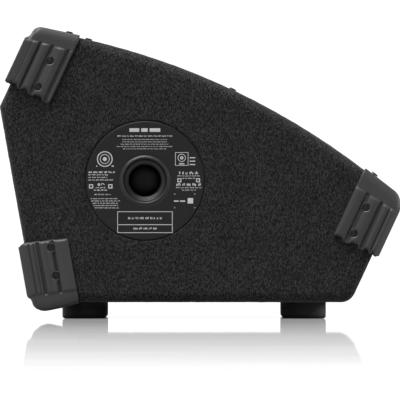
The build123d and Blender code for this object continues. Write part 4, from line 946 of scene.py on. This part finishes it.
def islands(node):
    """Points of each separate solid of a CAD node, in mm."""
    mesh = bpy.data.objects[node].data
    parent = list(range(len(mesh.vertices)))

    def root(k):
        while parent[k] != k:
            parent[k] = parent[parent[k]]
            k = parent[k]
        return k

    co = np.empty(len(mesh.vertices) * 3)
    mesh.vertices.foreach_get("co", co)
    co = co.reshape(-1, 3) / MM
    same = {}
    for k, p in enumerate(np.round(co, 3)):
        first = same.setdefault(tuple(p), k)
        parent[root(k)] = root(first)
    for edge in mesh.edges:
        a, b = edge.vertices
        parent[root(a)] = root(b)
    groups = {}
    for k in range(len(co)):
        groups.setdefault(root(k), []).append(k)
    found = [co[g] for g in groups.values() if len(g) > 8]
    return sorted(found, key=lambda g: tuple(np.round(g.mean(axis=0), 1)))


def screw_frames(node):
    """Seat, direction, head radius and head height of each screw of a node."""
    for points in islands(node):
        middle = points.mean(axis=0)
        axis = np.linalg.svd(points - middle, full_matrices=False)[2][0]
        along = (points - middle) @ axis
        if not np.isfinite(along).all():
            continue
        radial = np.linalg.norm((points - middle) - np.outer(along, axis), axis=1)
        if radial[along > along.max() - 0.2].max() < radial[along < along.min() + 0.2].max():
            axis, along = -axis, -along
        core = points[along < along.min() + 0.2].mean(axis=0)
        away = points - core
        along = away @ axis
        radial = np.linalg.norm(away - np.outer(along, axis), axis=1)
        head = radial.max()
        wide = along[radial > head - 0.3]
        under = wide.min()
        yield core + axis * under, axis, head, wide.max() - under, along.min() - under


def sideways(axis):
    """A direction square to a screw's axis."""
    start = np.cross(axis, (0.31, 0.52, 0.79))
    return start / np.linalg.norm(start)


def screw_part(seat, axis, radius, height, tail):
    """A pan head with a recessed cross, and its shank."""
    start = sideways(axis)
    side = np.cross(axis, start)
    steps = 24
    arm, half = radius * 0.62, radius * 0.13
    plus = [(arm, -half), (arm, half), (half, half), (half, arm), (-half, arm), (-half, half),
            (-arm, half), (-arm, -half), (-half, -half), (-half, -arm), (half, -arm), (half, -half)]
    ring = []
    for i in range(12):
        p, q = np.array(plus[i]), np.array(plus[(i + 1) % 12])
        ring += [p, (p + q) / 2]
    order = np.argsort([math.atan2(p[1], p[0]) % (2 * math.pi) for p in ring])
    ring = [ring[i] for i in order]
    angles = [math.atan2(p[1], p[0]) for p in ring]

    def loop(h, wide, spots):
        return [seat + axis * h + start * wide * x + side * wide * y for x, y in spots]

    circle = [(math.cos(a), math.sin(a)) for a in angles]
    verts = []
    for wide, h in ((0.5, tail), (0.5, 0.0), (1.0, 0.0), (1.0, height * 0.35),
                    (0.95, height * 0.7), (0.82, height * 0.9)):
        verts += loop(h, radius * wide, circle)
    for wide, share in ((1.08, 1.0), (1.0, 0.93), (0.8, 0.30)):
        verts += loop(height * share, wide, ring)
    faces = grid_faces(9, steps, wrap=True)
    faces.append(list(range(steps))[::-1])
    faces.append([8 * steps + k for k in range(steps)])
    return verts, [f[::-1] for f in faces]


def cup_washer(seat, axis, radius, height):
    profile = [(3.4, 0.0), (radius, 0.0), (radius, height * 0.5), (radius - 0.6, height * 0.85),
               (radius - 1.4, height), (4.4, height), (4.2, height * 0.8), (3.4, height * 0.8)]
    return inside_out(lathe(profile, seat, axis, sideways(axis), 40))


for node in ("corner_screws", "grille_screws", "panel_screws"):
    parts = []
    for seat, axis, head, height, tail in screw_frames(node):
        if node == "grille_screws":
            parts.append(cup_washer(seat, axis, head, height))
            parts.append(screw_part(seat + axis * 1.2, axis, 4.2, 2.2, tail - 1.2))
        else:
            parts.append(screw_part(seat, axis, head, height, tail))
    make_piece(f"{node}_crossed", *merge(parts), "screw", smooth=False, replaces=(node,),
               slot="black_screws")

# ---------------------------------------------------------------- grille and foam


def arc_place(along, inset, y):
    """A point below the bulged top, along its arc length from the middle, in mm."""
    radius = TOP_RADIUS - inset
    angle = FACE_TILT + along / TOP_RADIUS
    return (ARC_CENTRE[0] + radius * math.sin(angle), y, ARC_CENTRE[1] + radius * math.cos(angle))


GRILLE_INSET = 1.5
BORDER_STEPS = 61
GRILLE_HALF = 262.0
CHORD_HALF = (FACE_LENGTH - 2 * RING) / 2 - 0.5
GRILLE_REACH = TOP_RADIUS * math.asin(CHORD_HALF / TOP_RADIUS) - 0.6


def grille_mesh():
    """Curved sheet with hexagonal holes and a plain border turned down at its edge."""
    pitch, wall, border = 7.4, 1.5, 7.0
    cell = pitch / math.sqrt(3)
    hole = (pitch - wall) / math.sqrt(3)
    step = pitch * math.sqrt(3) / 2
    rows = int((2 * (GRILLE_REACH - border)) / step)
    across = int((2 * (GRILLE_HALF - border)) / pitch)
    verts, faces, known = [], [], {}

    def corner(u, y):
        key = (round(u, 2), round(y, 2))
        if key not in known:
            known[key] = len(verts)
            verts.append(arc_place(u, GRILLE_INSET, y))
        return known[key]

    for r in range(rows):
        u0 = (r - (rows - 1) / 2) * step
        for c in range(across - (r % 2)):
            y0 = (c - (across - 1) / 2) * pitch + (r % 2) * pitch / 2
            outer, inner = [], []
            for k in range(6):
                a = math.radians(60 * k)
                x, y = math.cos(a), math.sin(a)
                outer.append(corner(u0 + cell * x, y0 + cell * y))
                inner.append(len(verts))
                verts.append(arc_place(u0 + hole * x, GRILLE_INSET, y0 + hole * y))
            for k in range(6):
                faces.append([outer[k], inner[k], inner[(k + 1) % 6], outer[(k + 1) % 6]])
    inner_u = (rows - 1) / 2 * step + cell * 0.4
    inner_y = (across - 1) / 2 * pitch + pitch * 0.25
    first = len(verts)
    for inset, u_half, y_half in (
        (GRILLE_INSET - 0.1, inner_u, inner_y),
        (GRILLE_INSET - 0.1, GRILLE_REACH - 1.2, GRILLE_HALF - 1.2),
        (GRILLE_INSET + 0.3, GRILLE_REACH - 0.3, GRILLE_HALF - 0.3),
        (GRILLE_INSET + 1.4, GRILLE_REACH, GRILLE_HALF),
    ):
        us = np.linspace(-u_half, u_half, BORDER_STEPS)
        ys = np.linspace(-y_half, y_half, BORDER_STEPS)
        loop = [(u, -y_half) for u in us] + [(u_half, y) for y in ys[1:]]
        loop += [(u, y_half) for u in us[-2::-1]] + [(-u_half, y) for y in ys[-2:0:-1]]
        verts.extend(arc_place(u, inset, y) for u, y in loop)
    faces += grid_faces(4, len(loop), first=first, wrap=True)
    return make_piece("grille_perforated", verts, faces, "grille", smooth=False,
                      replaces=("grille",), slot="grille_paint", thickness=1.2, inner=INSIDE)


grille_mesh()


def foam_sheet():
    """Open-cell foam behind the grille, its face uneven and its edges rounded."""
    half_u, half_y = GRILLE_REACH - 12.5, GRILLE_HALF - 15.5
    us, ys = np.linspace(-half_u, half_u, 110), np.linspace(-half_y, half_y, 130)
    verts = []
    for y in ys:
        for u in us:
            edge = min(half_u - abs(u), half_y - abs(y))
            drop = 2.2 * (1 - min(1.0, edge / 5.0)) ** 2
            verts.append(arc_place(u, GRILLE_INSET + 1.9 + drop, y))
    verts = np.array(verts)
    verts[:, 2] -= 0.25 + 0.25 * lumps(verts, 7.0, 31)
    foam = make_piece("foam_backing", verts, grid_faces(len(ys), len(us), flip=True), "foam",
                      replaces=("grille_foam",), slot="foam", thickness=2.6, inner=INSIDE)


foam_sheet()

# ---------------------------------------------------------------- pole socket and its label

SOCKET_SEAT = (SOCKET[0], -HALF_WIDTH, SOCKET[1])


def pole_cup():
    """Turned cup: flange, rolled lip, sloping mouth and blind bore."""
    profile = [
        (66.0, 2.4), (69.2, 2.4), (69.2, 2.0), (68.3, 1.8), (68.1, 0.5), (67.8, 0.35), (29.6, 0.35),
        (28.6, 0.2), (27.9, -0.5), (27.1, -1.05), (26.2, -1.2), (25.6, -1.0), (25.0, -0.3),
        (24.5, 1.0), (24.2, 2.2), (24.0, 3.4), (23.8, 6.4), (23.3, 7.4), (22.2, 8.0), (20.4, 8.6),
        (19.0, 9.6), (18.2, 11.0), (18.0, 13.0), (18.0, 40.0), (18.0, 76.0), (17.0, 82.0),
        (15.0, 84.0), (6.0, 84.0), (0.4, 84.0),
    ]
    part = lathe(profile, SOCKET_SEAT, (0, 1, 0), (1, 0, 0), 128)
    make_piece("pole_cup", *part, "moulded", replaces=("pole_socket",),
               slot="moulded_plastic", thickness=1.6, inner=INSIDE)


pole_cup()


def label_disc():
    """Printed film glued round the socket, its rim slightly turned down."""
    profile = [(29.8, 0.28), (30.0, 0.03), (30.6, 0.0)]
    profile += [(r, 0.0) for r in np.linspace(34, 64, 9)]
    profile += [(67.0, 0.0), (67.5, 0.05), (67.7, 0.28)]
    part = lathe(profile, SOCKET_SEAT, (0, 1, 0), (1, 0, 0), 144)
    make_piece("label_disc", *part, "label", replaces=("socket_label",),
               slot="label_film", thickness=0.2, inner=INSIDE)


label_disc()

INK_Y = -HALF_WIDTH - 0.06
INK = 0.08


def label_print():
    """Marks that say nothing: rows of broken strokes, frames, bars and rings."""
    parts = []
    cx, cz = SOCKET

    def bar(x0, x1, z0, z1):
        parts.append(box_part((cx + x0, INK_Y, cz + z0), (cx + x1, INK_Y + INK, cz + z1)))

    def words(x0, x1, z, tall, density=0.62):
        """A greeked line: short blocks of uneven length, never letters."""
        x = x0
        while x < x1 - 0.3:
            block = min(float(rng.uniform(1.6, 5.2)), x1 - x)
            stroke = x
            while stroke < x + block - 0.12:
                wide = float(rng.uniform(0.25, 0.55)) * (0.5 + tall)
                rise = tall * float(rng.uniform(0.6, 1.0))
                low = z - tall / 2 + float(rng.choice([0, 0, (tall - rise)]))
                bar(stroke, min(stroke + wide * density, x + block), low, low + rise)
                stroke += wide
            x += block + 0.55 * (0.6 + tall)

    def frame_box(x0, x1, z0, z1, line):
        bar(x0, x1, z1 - line, z1)
        bar(x0, x1, z0, z0 + line)
        bar(x0, x0 + line, z0 + line, z1 - line)
        bar(x1 - line, x1, z0 + line, z1 - line)

    def ring(x, z, outer, inner, start=0.0, sweep=360.0, sides=48):
        verts = []
        count = max(3, int(sides * sweep / 360))
        for k in range(count + 1):
            a = math.radians(start + sweep * k / count)
            for r in (outer, inner):
                verts.append(np.array([cx + x + r * math.cos(a), INK_Y, cz + z + r * math.sin(a)]))
        front = [[2 * k, 2 * k + 1, 2 * k + 3, 2 * k + 2] for k in range(count)]
        back = len(verts)
        verts += [v + np.array([0, INK, 0]) for v in verts]
        faces = front + [[back + i for i in f[::-1]] for f in front]
        for k in range(count):
            faces.append([2 * k, 2 * k + 2, back + 2 * k + 2, back + 2 * k])
            faces.append([2 * k + 1, back + 2 * k + 1, back + 2 * k + 3, 2 * k + 3])
        parts.append((verts, faces))

    def rows(first, drop, tall, density, spans):
        for row, (x0, x1) in enumerate(spans):
            words(x0, x1, first - drop * row, tall, density)

    # heading: three plain bars of unequal length stand where a name would be
    for x0, x1 in ((-17.8, -6.6), (-4.3, 3.1), (5.4, 17.6)):
        bar(x0, x1, 56.0, 60.1)
    words(-31.6, 31.3, 51.2, 1.5, 0.66)
    rows(47.2, 2.68, 1.1, 0.55, ((-26, 25.5), (-26, 25.5), (-28, 28), (-32.5, 32.5), (-25, 24.5)))
    # left block: a plain ring and dot over three groups of lines
    ring(-46.2, 24.7, 9.0, 7.9)
    ring(-46.2, 24.7, 5.6, 4.9)
    ring(-46.2, 24.7, 2.3, 0.2)
    for x0, x1 in ((-55.8, -54.8), (-38.3, -35.8)):
        bar(x0, x1, 15.9, 17.3)
    words(-65.0, -34.6, 9.7, 2.2, 0.7)
    rows(6.6, 2.95, 1.4, 0.62, ((-65, -41), (-65, -43.5), (-65, -36.5)))
    for x in (-62.0, -39.8):
        frame_box(x - 2.4, x + 2.4, -9.1, -4.3, 1.1)
    ring(-52.9, -4.7, 1.5, 0.4)
    ring(-48.6, -5.2, 2.1, 1.3, 0, 180)
    words(-56.7, -45.2, -8.2, 1.3)
    words(-58.7, -42.6, -10.9, 1.6, 0.7)
    words(-58.0, -39.6, -16.0, 1.5, 0.6)
    rows(-20.8, 2.65, 1.25, 0.62,
         ((-62.5, -31.5), (-61.8, -28.5), (-60, -31.5), (-59, -31), (-57.7, -30)))
    # right block: a framed ring, short bars, two groups of lines and plain bars
    frame_box(34.7, 49.9, 17.1, 32.5, 0.6)
    ring(42.3, 26.1, 4.6, 3.9)
    ring(42.3, 26.1, 1.9, 0.7)
    bar(39.3, 45.3, 18.5, 19.9)
    for z in (25.6, 21.7, 17.8):
        bar(51.4, 57.8, z, z + 1.15)
    words(39.3, 61.5, 8.7, 3.2, 0.7)
    rows(5.3, 2.8, 1.2, 0.62, ((37.5, 63), (43, 57.8)))
    for x in (39.6, 61.1):
        frame_box(x - 2.3, x + 2.3, -2.0, 2.6, 1.1)
    words(36.1, 64.7, -4.6, 3.2, 0.7)
    rows(-8.2, 2.8, 1.2, 0.62, ((35.7, 65.2), (42.5, 58.4)))
    for x in (34.3, 57.4):
        for z in (-15.6, -31.2):
            bar(x - 0.7, x + 0.7, z - 0.25, z + 0.25)
            bar(x - 0.25, x + 0.25, z - 0.8, z + 0.8)
    bar(33.4, 38.6, -24.4, -22.9)
    bar(40.2, 46.2, -24.4, -22.9)
    bar(49.2, 55.4, -26.4, -20.2)
    # ruled box for handwritten entries
    frame_box(-31.8, 31.8, -60.3, -35.5, 0.7)
    bar(-31.8, 31.8, -51.2, -50.4)
    words(-19.4, 19.4, -43.2, 2.6)
    words(-13.2, 13.5, -55.1, 2.4)
    make_piece("label_print", *merge(parts), "ink", smooth=False, slot="label_film")


label_print()

# ---------------------------------------------------------------- feet


def feet():
    """Round rubber feet with a rolled edge, a ribbed flank and a screw well."""
    profile = [
        (0.6, BASE_Z - 0.05), (24.6, BASE_Z - 0.05), (25.2, BASE_Z - 0.4), (25.5, BASE_Z - 1.2),
        (25.5, 15.2), (25.2, 14.8), (25.5, 14.4), (25.5, 5.4), (25.4, 3.0), (25.0, 1.4),
        (24.2, 0.5), (23.0, 0.0), (20.0, 0.0),
        (17.4, 0.0), (17.1, 0.5), (15.4, 0.5), (15.1, 0.0), (12.0, 0.0), (9.2, 0.0), (8.4, 0.3),
        (8.0, 1.0), (8.0, 10.6), (7.6, 11.0), (5.2, 11.0), (5.1, 11.3), (0.6, 11.3),
    ]
    parts = []
    for x in FOOT_XS:
        for y in (-FOOT_Y, FOOT_Y):
            parts.append(inside_out(lathe(profile, (x, y, 0), (0, 0, 1), (1, 0, 0), 72)))
    make_piece("feet_moulded", *merge(parts), "rubber", replaces=("rubber_feet",),
               slot="foot_rubber")


feet()

# ---------------------------------------------------------------- controls

KNOBS = (("level_knob", 12.0), ("low_knob", 45.0), ("high_knob", 78.0), ("filter_knob", 111.0))
KNOB_ROW = 42.0
TICK_START, TICK_SHORT, TICK_LONG, TICK_WIDTH = 10.6, 12.4, 13.6, 0.5
KNOB_BASE = RECESS_FLOOR - 0.4


def rectangle(x0, x1, y0, y1):
    return [(x0, y0), (x1, y0), (x1, y1), (x0, y1)]


def knob(name, across):
    """Fluted knob with a domed top, a skirt and a pointer line."""
    centre = rear_point(across, KNOB_ROW, KNOB_BASE)
    profile = [
        (3.0, -13.0), (3.0, 0.0), (8.3, 0.0), (8.5, 0.3), (8.5, 2.0), (8.3, 2.5), (7.7, 2.9),
        (7.55, 3.4), (7.45, 6.0), (7.35, 9.0), (7.2, 11.6), (6.9, 12.3), (6.3, 12.75),
        (5.4, 12.9), (3.0, 12.7),
        (0.3, 12.6),
    ]

    def fluted(radius, height, angle):
        cut = 0.45 * max(0.0, math.cos(18 * angle)) ** 2 if 3.2 < height < 12.0 else 0.0
        return radius - cut

    part = inside_out(lathe(profile, centre, REAR_OUT, REAR_UP, 144, fluted))
    make_piece(f"{name}_fluted", *part, "knob", body=name, replaces=(name,), slot="knob_plastic")
    mark = [rear_point(across + x, KNOB_ROW + y, KNOB_BASE - 12.95 + d)
            for d in (0.0, 0.6) for x, y in rectangle(-0.5, 0.5, 2.2, 6.9)]
    make_piece(f"{name}_pointer", *inside_out((mark, BOX_SIDES)), "pointer", body=name,
               smooth=False, slot="knob_plastic")


for name, across in KNOBS:
    knob(name, across)


def panel_print():
    """Scale ticks round the knobs, frames round the sockets and joining lines."""
    parts = []
    lift = 0.06

    def stroke(p, q, wide):
        p, q = np.array(p, dtype=float), np.array(q, dtype=float)
        along = (q - p) / np.linalg.norm(q - p)
        off = np.array([-along[1], along[0]]) * wide / 2
        flat = (p - off, q - off, q + off, p + off)
        verts = [rear_point(a, b, RECESS_FLOOR - lift * d) for d in (0.2, 1) for a, b in flat]
        parts.append((verts, BOX_SIDES))

    def box_frame(x, y, half_w, half_h, wide=0.6):
        spots = rectangle(x - half_w, x + half_w, y - half_h, y + half_h)
        for k in range(4):
            stroke(spots[k], spots[(k + 1) % 4], wide)

    for _, x in KNOBS:
        for k in range(11):
            a = math.radians(230 - 28 * k)
            ray = np.array([math.cos(a), math.sin(a)])
            far = TICK_LONG if k in (0, 5, 10) else TICK_SHORT
            stroke((x, KNOB_ROW) + TICK_START * ray, (x, KNOB_ROW) + far * ray, TICK_WIDTH)
        stroke((x - 5, KNOB_ROW + 18.5), (x + 5, KNOB_ROW + 18.5), 1.6)
    for x in (18.0, 55.0, 92.0):
        stroke((x - 6, -21.5), (x + 6, -21.5), 1.3)
    box_frame(36.0, -4.5, 35.0, 20.5)
    for x0, x1 in ((71.0, 78.0), (106.0, 112.0)):
        stroke((x0, -4.0), (x1, -4.0), 0.6)
    box_frame(26.0, -50.0, 29.0, 18.5)
    for y in (46.0, 34.0, 22.0):
        stroke((-23.5, y), (-16.0, y), 1.3)
    for y in (15.0, -6.0):
        stroke((126.5, y), (131.5, y), 1.3)
    make_piece("panel_print", *merge(parts), "print", smooth=False, slot="panel_paint")


panel_print()

ROCKER = (82.0, -50.0)
ROCKER_PIVOT = 28.0
ROCKER_FACE = 7.6
ROCKER_SWING = math.radians(10.0)


def rocker_marks():
    """The on bar and the off ring, printed on the two halves of the rocker."""
    pivot = rear_point(*ROCKER, ROCKER_PIVOT)

    def place(across, up, lift):
        out = ROCKER_FACE + abs(up) * math.tan(ROCKER_SWING) + lift
        turned_up = up * math.cos(ROCKER_SWING) + out * math.sin(ROCKER_SWING)
        turned_out = out * math.cos(ROCKER_SWING) - up * math.sin(ROCKER_SWING)
        return pivot + REAR_RIGHT * across + REAR_UP * turned_up + REAR_OUT * turned_out

    bar = [place(x, y, d) for d in (0.0, 0.08) for x, y in rectangle(-0.5, 0.5, 3.6, 8.0)]
    parts = [(bar, BOX_SIDES)]
    angles = np.linspace(0, 2 * math.pi, 32, endpoint=False)
    verts = [place(r * math.cos(a), -5.8 + r * math.sin(a), d)
             for d in (0.0, 0.08) for r in (1.5, 2.2) for a in angles]
    rings = [verts[k:k + 32] for k in (0, 32, 64, 96)]
    ordered = rings[0] + rings[2] + rings[3] + rings[1] + rings[0]
    parts.append((ordered, grid_faces(5, 32, wrap=True)))
    make_piece("rocker_marks", *merge(parts), "pointer", body="power_rocker", smooth=False,
               slot="rocker_plastic")


rocker_marks()

# ---------------------------------------------------------------- inside the cabinet

WADDING_BLOCKS = ((-256.5, 64.0), (87.0, 256.5))
WADDING_LOW, WADDING_HIGH = (-165.0, 36.5), (150.0, 56.5)


def wadding_pads():
    """Two lofted pads on the bottom board, crowned, with soft edges and a lumpy top."""
    parts = []
    for low, high in WADDING_BLOCKS:
        across, along = 40, 46
        verts = []
        for i in range(along):
            for j in range(across):
                u, v = 2 * i / (along - 1) - 1, 2 * j / (across - 1) - 1
                crown = (1 - abs(u) ** 6) * (1 - abs(v) ** 6)
                verts.append((np.interp(u, (-1, 1), (WADDING_LOW[0] + 1, WADDING_HIGH[0] - 1)),
                              np.interp(v, (-1, 1), (low + 1, high - 1)), crown))
        verts = np.array(verts)
        loft = lumps(verts * (1, 1, 0), 34.0, 41)
        room = WADDING_HIGH[1] - WADDING_LOW[1]
        thick = room * (0.35 + 0.65 * verts[:, 2]) * (0.93 + 0.05 * loft)
        top = np.column_stack([verts[:, :2], WADDING_LOW[1] + np.minimum(thick, 20.0)])
        under = np.column_stack([verts[:, :2], np.full(len(verts), WADDING_LOW[1])])
        faces = grid_faces(along, across, flip=True)
        faces += [[k + len(verts) for k in f[::-1]] for f in faces]
        rim = list(range(across)) + [i * across + across - 1 for i in range(1, along)]
        rim += [(along - 1) * across + j for j in range(across - 2, -1, -1)]
        rim += [i * across for i in range(along - 2, 0, -1)]
        for a, b in zip(rim, rim[1:] + rim[:1]):
            faces.append([a, b, b + len(verts), a + len(verts)])
        both = np.concatenate([top, under])
        parts.append((list(both), turned_outward(both, faces, (0, (low + high) / 2, 46.0))))
    pads = make_piece("wadding_pads", *merge(parts), "wadding", replaces=("wadding",),
                      slot="polyester_wadding")


wadding_pads()

LEAD_DIAMETER = 4.4
LEAD_STRAIGHT = 18.0
BOARD_BACK = 53.6
TERMINAL = (-115.0, -88.0, -66.0)
DRIVER_BACK = (-20.0, 160.0, -156.0)


def inside_point(along, y, out):
    x, z = on_face(along, out)
    return np.array([x, y, z])


def lead(name, points):
    """A sleeved speaker lead along a smooth curve, held at both ends."""
    curve = bpy.data.curves.new(name, "CURVE")
    curve.dimensions = "3D"
    spline = curve.splines.new("NURBS")
    spline.points.add(len(points) - 1)
    for target, point in zip(spline.points, points):
        target.co = (*(np.asarray(point, dtype=float) * MM), 1.0)
    spline.order_u = 3
    spline.use_endpoint_u = True
    spline.resolution_u = 16
    piece = bpy.data.objects.new(name, curve)
    bpy.context.collection.objects.link(piece)
    line = bpy.data.meshes.new_from_object(piece)
    curve.bevel_depth = LEAD_DIAMETER / 2 * MM
    curve.bevel_resolution = 5
    curve.use_fill_caps = True
    curve.materials.append(MATERIALS["lead"])
    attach(piece, "cabinet")
    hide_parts("speaker_leads")


def from_board(across, up):
    """Where a lead leaves the amplifier board, and the end of its straight start."""
    return [rear_point(across, up, BOARD_BACK + d) for d in (0, LEAD_STRAIGHT)]


def into(along, y, out):
    """The straight end of a lead, and the terminal it goes into."""
    return [inside_point(along, y, out - LEAD_STRAIGHT), inside_point(along, y, out)]


lead("woofer_lead", [*from_board(12, 30), (-130, -50, 188), *into(*TERMINAL)])
lead("horn_lead", [*from_board(14, -36), (-124, 24, 100), (-122, 78, 92), (-104, 130, 80),
                   *into(*DRIVER_BACK)])

# ---------------------------------------------------------------- floor and light

FLOOR_GLOW = 0.56
ROOM_LIGHT = 0.15
BACKDROP_LIGHT = 1.1
MIRROR_SHARE = 0.79  # what the floor mirrors of the object right beside it
MIRROR_FADE = (0.8, 7.3)  # the mirror fades out between these distances, m


def stage_floor():
    """A pale, softly lit table whose surface mirrors the object at a very low angle."""
    t = material_tree("studio_floor")
    haze = t.noise(t.coords(), 3.0, 2)
    glow = t.remap(t.add("LightPath", "Is Camera Ray"), 0.0, 1.0, 0.0, FLOOR_GLOW)
    t.set(Base_Color=t.ramp(haze, (0.3, 0.26), (0.7, 0.30)), Roughness=0.9,
          Specular_IOR_Level=0.0, Emission_Color=1.0, Emission_Strength=glow)
    glossy = t.add("BsdfGlossy", Roughness=0.015, Color=1.0)
    grazing = t.math("POWER", t.add("LayerWeight", "Facing", Blend=0.5), 9.0)
    distance = t.nodes.new("ShaderNodeVectorMath")
    distance.operation = "LENGTH"
    t.feed(distance.inputs[0], t.coords((0.3, 1, 1)))
    near = t.remap(distance.outputs["Value"], *MIRROR_FADE, MIRROR_SHARE, 0.0)
    t.join(t.math("MULTIPLY", grazing, near), t.shader.outputs[0], glossy, "Material Output")
    half = 20.0
    mesh = bpy.data.meshes.new("floor")
    corners = [(x, y, 0) for x, y in rectangle(-half, half, -half, half)]
    mesh.from_pydata(corners, [], [(0, 1, 2, 3)])
    mesh.materials.append(t.owner)
    floor = bpy.data.objects.new("floor", mesh)
    floor.location.z = -0.0002
    bpy.context.collection.objects.link(floor)


stage_floor()


def studio_world():
    """White behind the object, and a dimmer room that the black surfaces see."""
    world = bpy.data.worlds.new("studio")
    t = Tree(world)
    room = t.nodes["Background"]
    t.feed(room.inputs["Color"], 1.0)
    t.feed(room.inputs["Strength"], ROOM_LIGHT)
    backdrop = t.add("Background", Color=1.0, Strength=BACKDROP_LIGHT)
    way = t.add("TexCoord", "Generated")
    height = t.add("SeparateXYZ", "Z", Vector=way)
    # mirror rays see the backdrop too, but only up to a low skyline
    mirrored = t.math("MULTIPLY", t.add("LightPath", "Is Glossy Ray"),
                      t.remap(height, 0.13, 0.2, 1.0, 0.0))
    seen = t.math("MAXIMUM", t.add("LightPath", "Is Camera Ray"), mirrored)
    t.join(seen, room.outputs[0], backdrop, "World Output")
    bpy.context.scene.world = world


def aim(lamp, place, target):
    lamp.location = place
    lamp.rotation_euler = (Vector(target) - Vector(place)).to_track_quat("-Z", "Y").to_euler()
    bpy.context.collection.objects.link(lamp)


def soft_light(name, place, target, size, energy):
    data = bpy.data.lights.new(name, "AREA")
    data.shape = "RECTANGLE"
    data.size, data.size_y = size
    data.energy = energy
    aim(bpy.data.objects.new(name, data), place, target)


def soft_sun(name, direction, strength, spread):
    data = bpy.data.lights.new(name, "SUN")
    data.energy = strength
    data.angle = math.radians(spread)
    aim(bpy.data.objects.new(name, data), direction, (0, 0, 0))


studio_world()
soft_sun("overhead", (-0.2, -0.22, 1.0), 5.4, 44.0)
soft_light("camera_side", (-1.4, -2.4, 1.9), (0, -0.2, 0.15), (1.4, 1.4), 14.5)
soft_light("rear_side", (-2.2, 1.8, 1.5), (0, 0, 0.15), (1.6, 1.6), 60.0)
soft_light("face_side", (2.7, 0.0, 0.95), (0, 0, 0.12), (1.6, 1.4), 46.0)
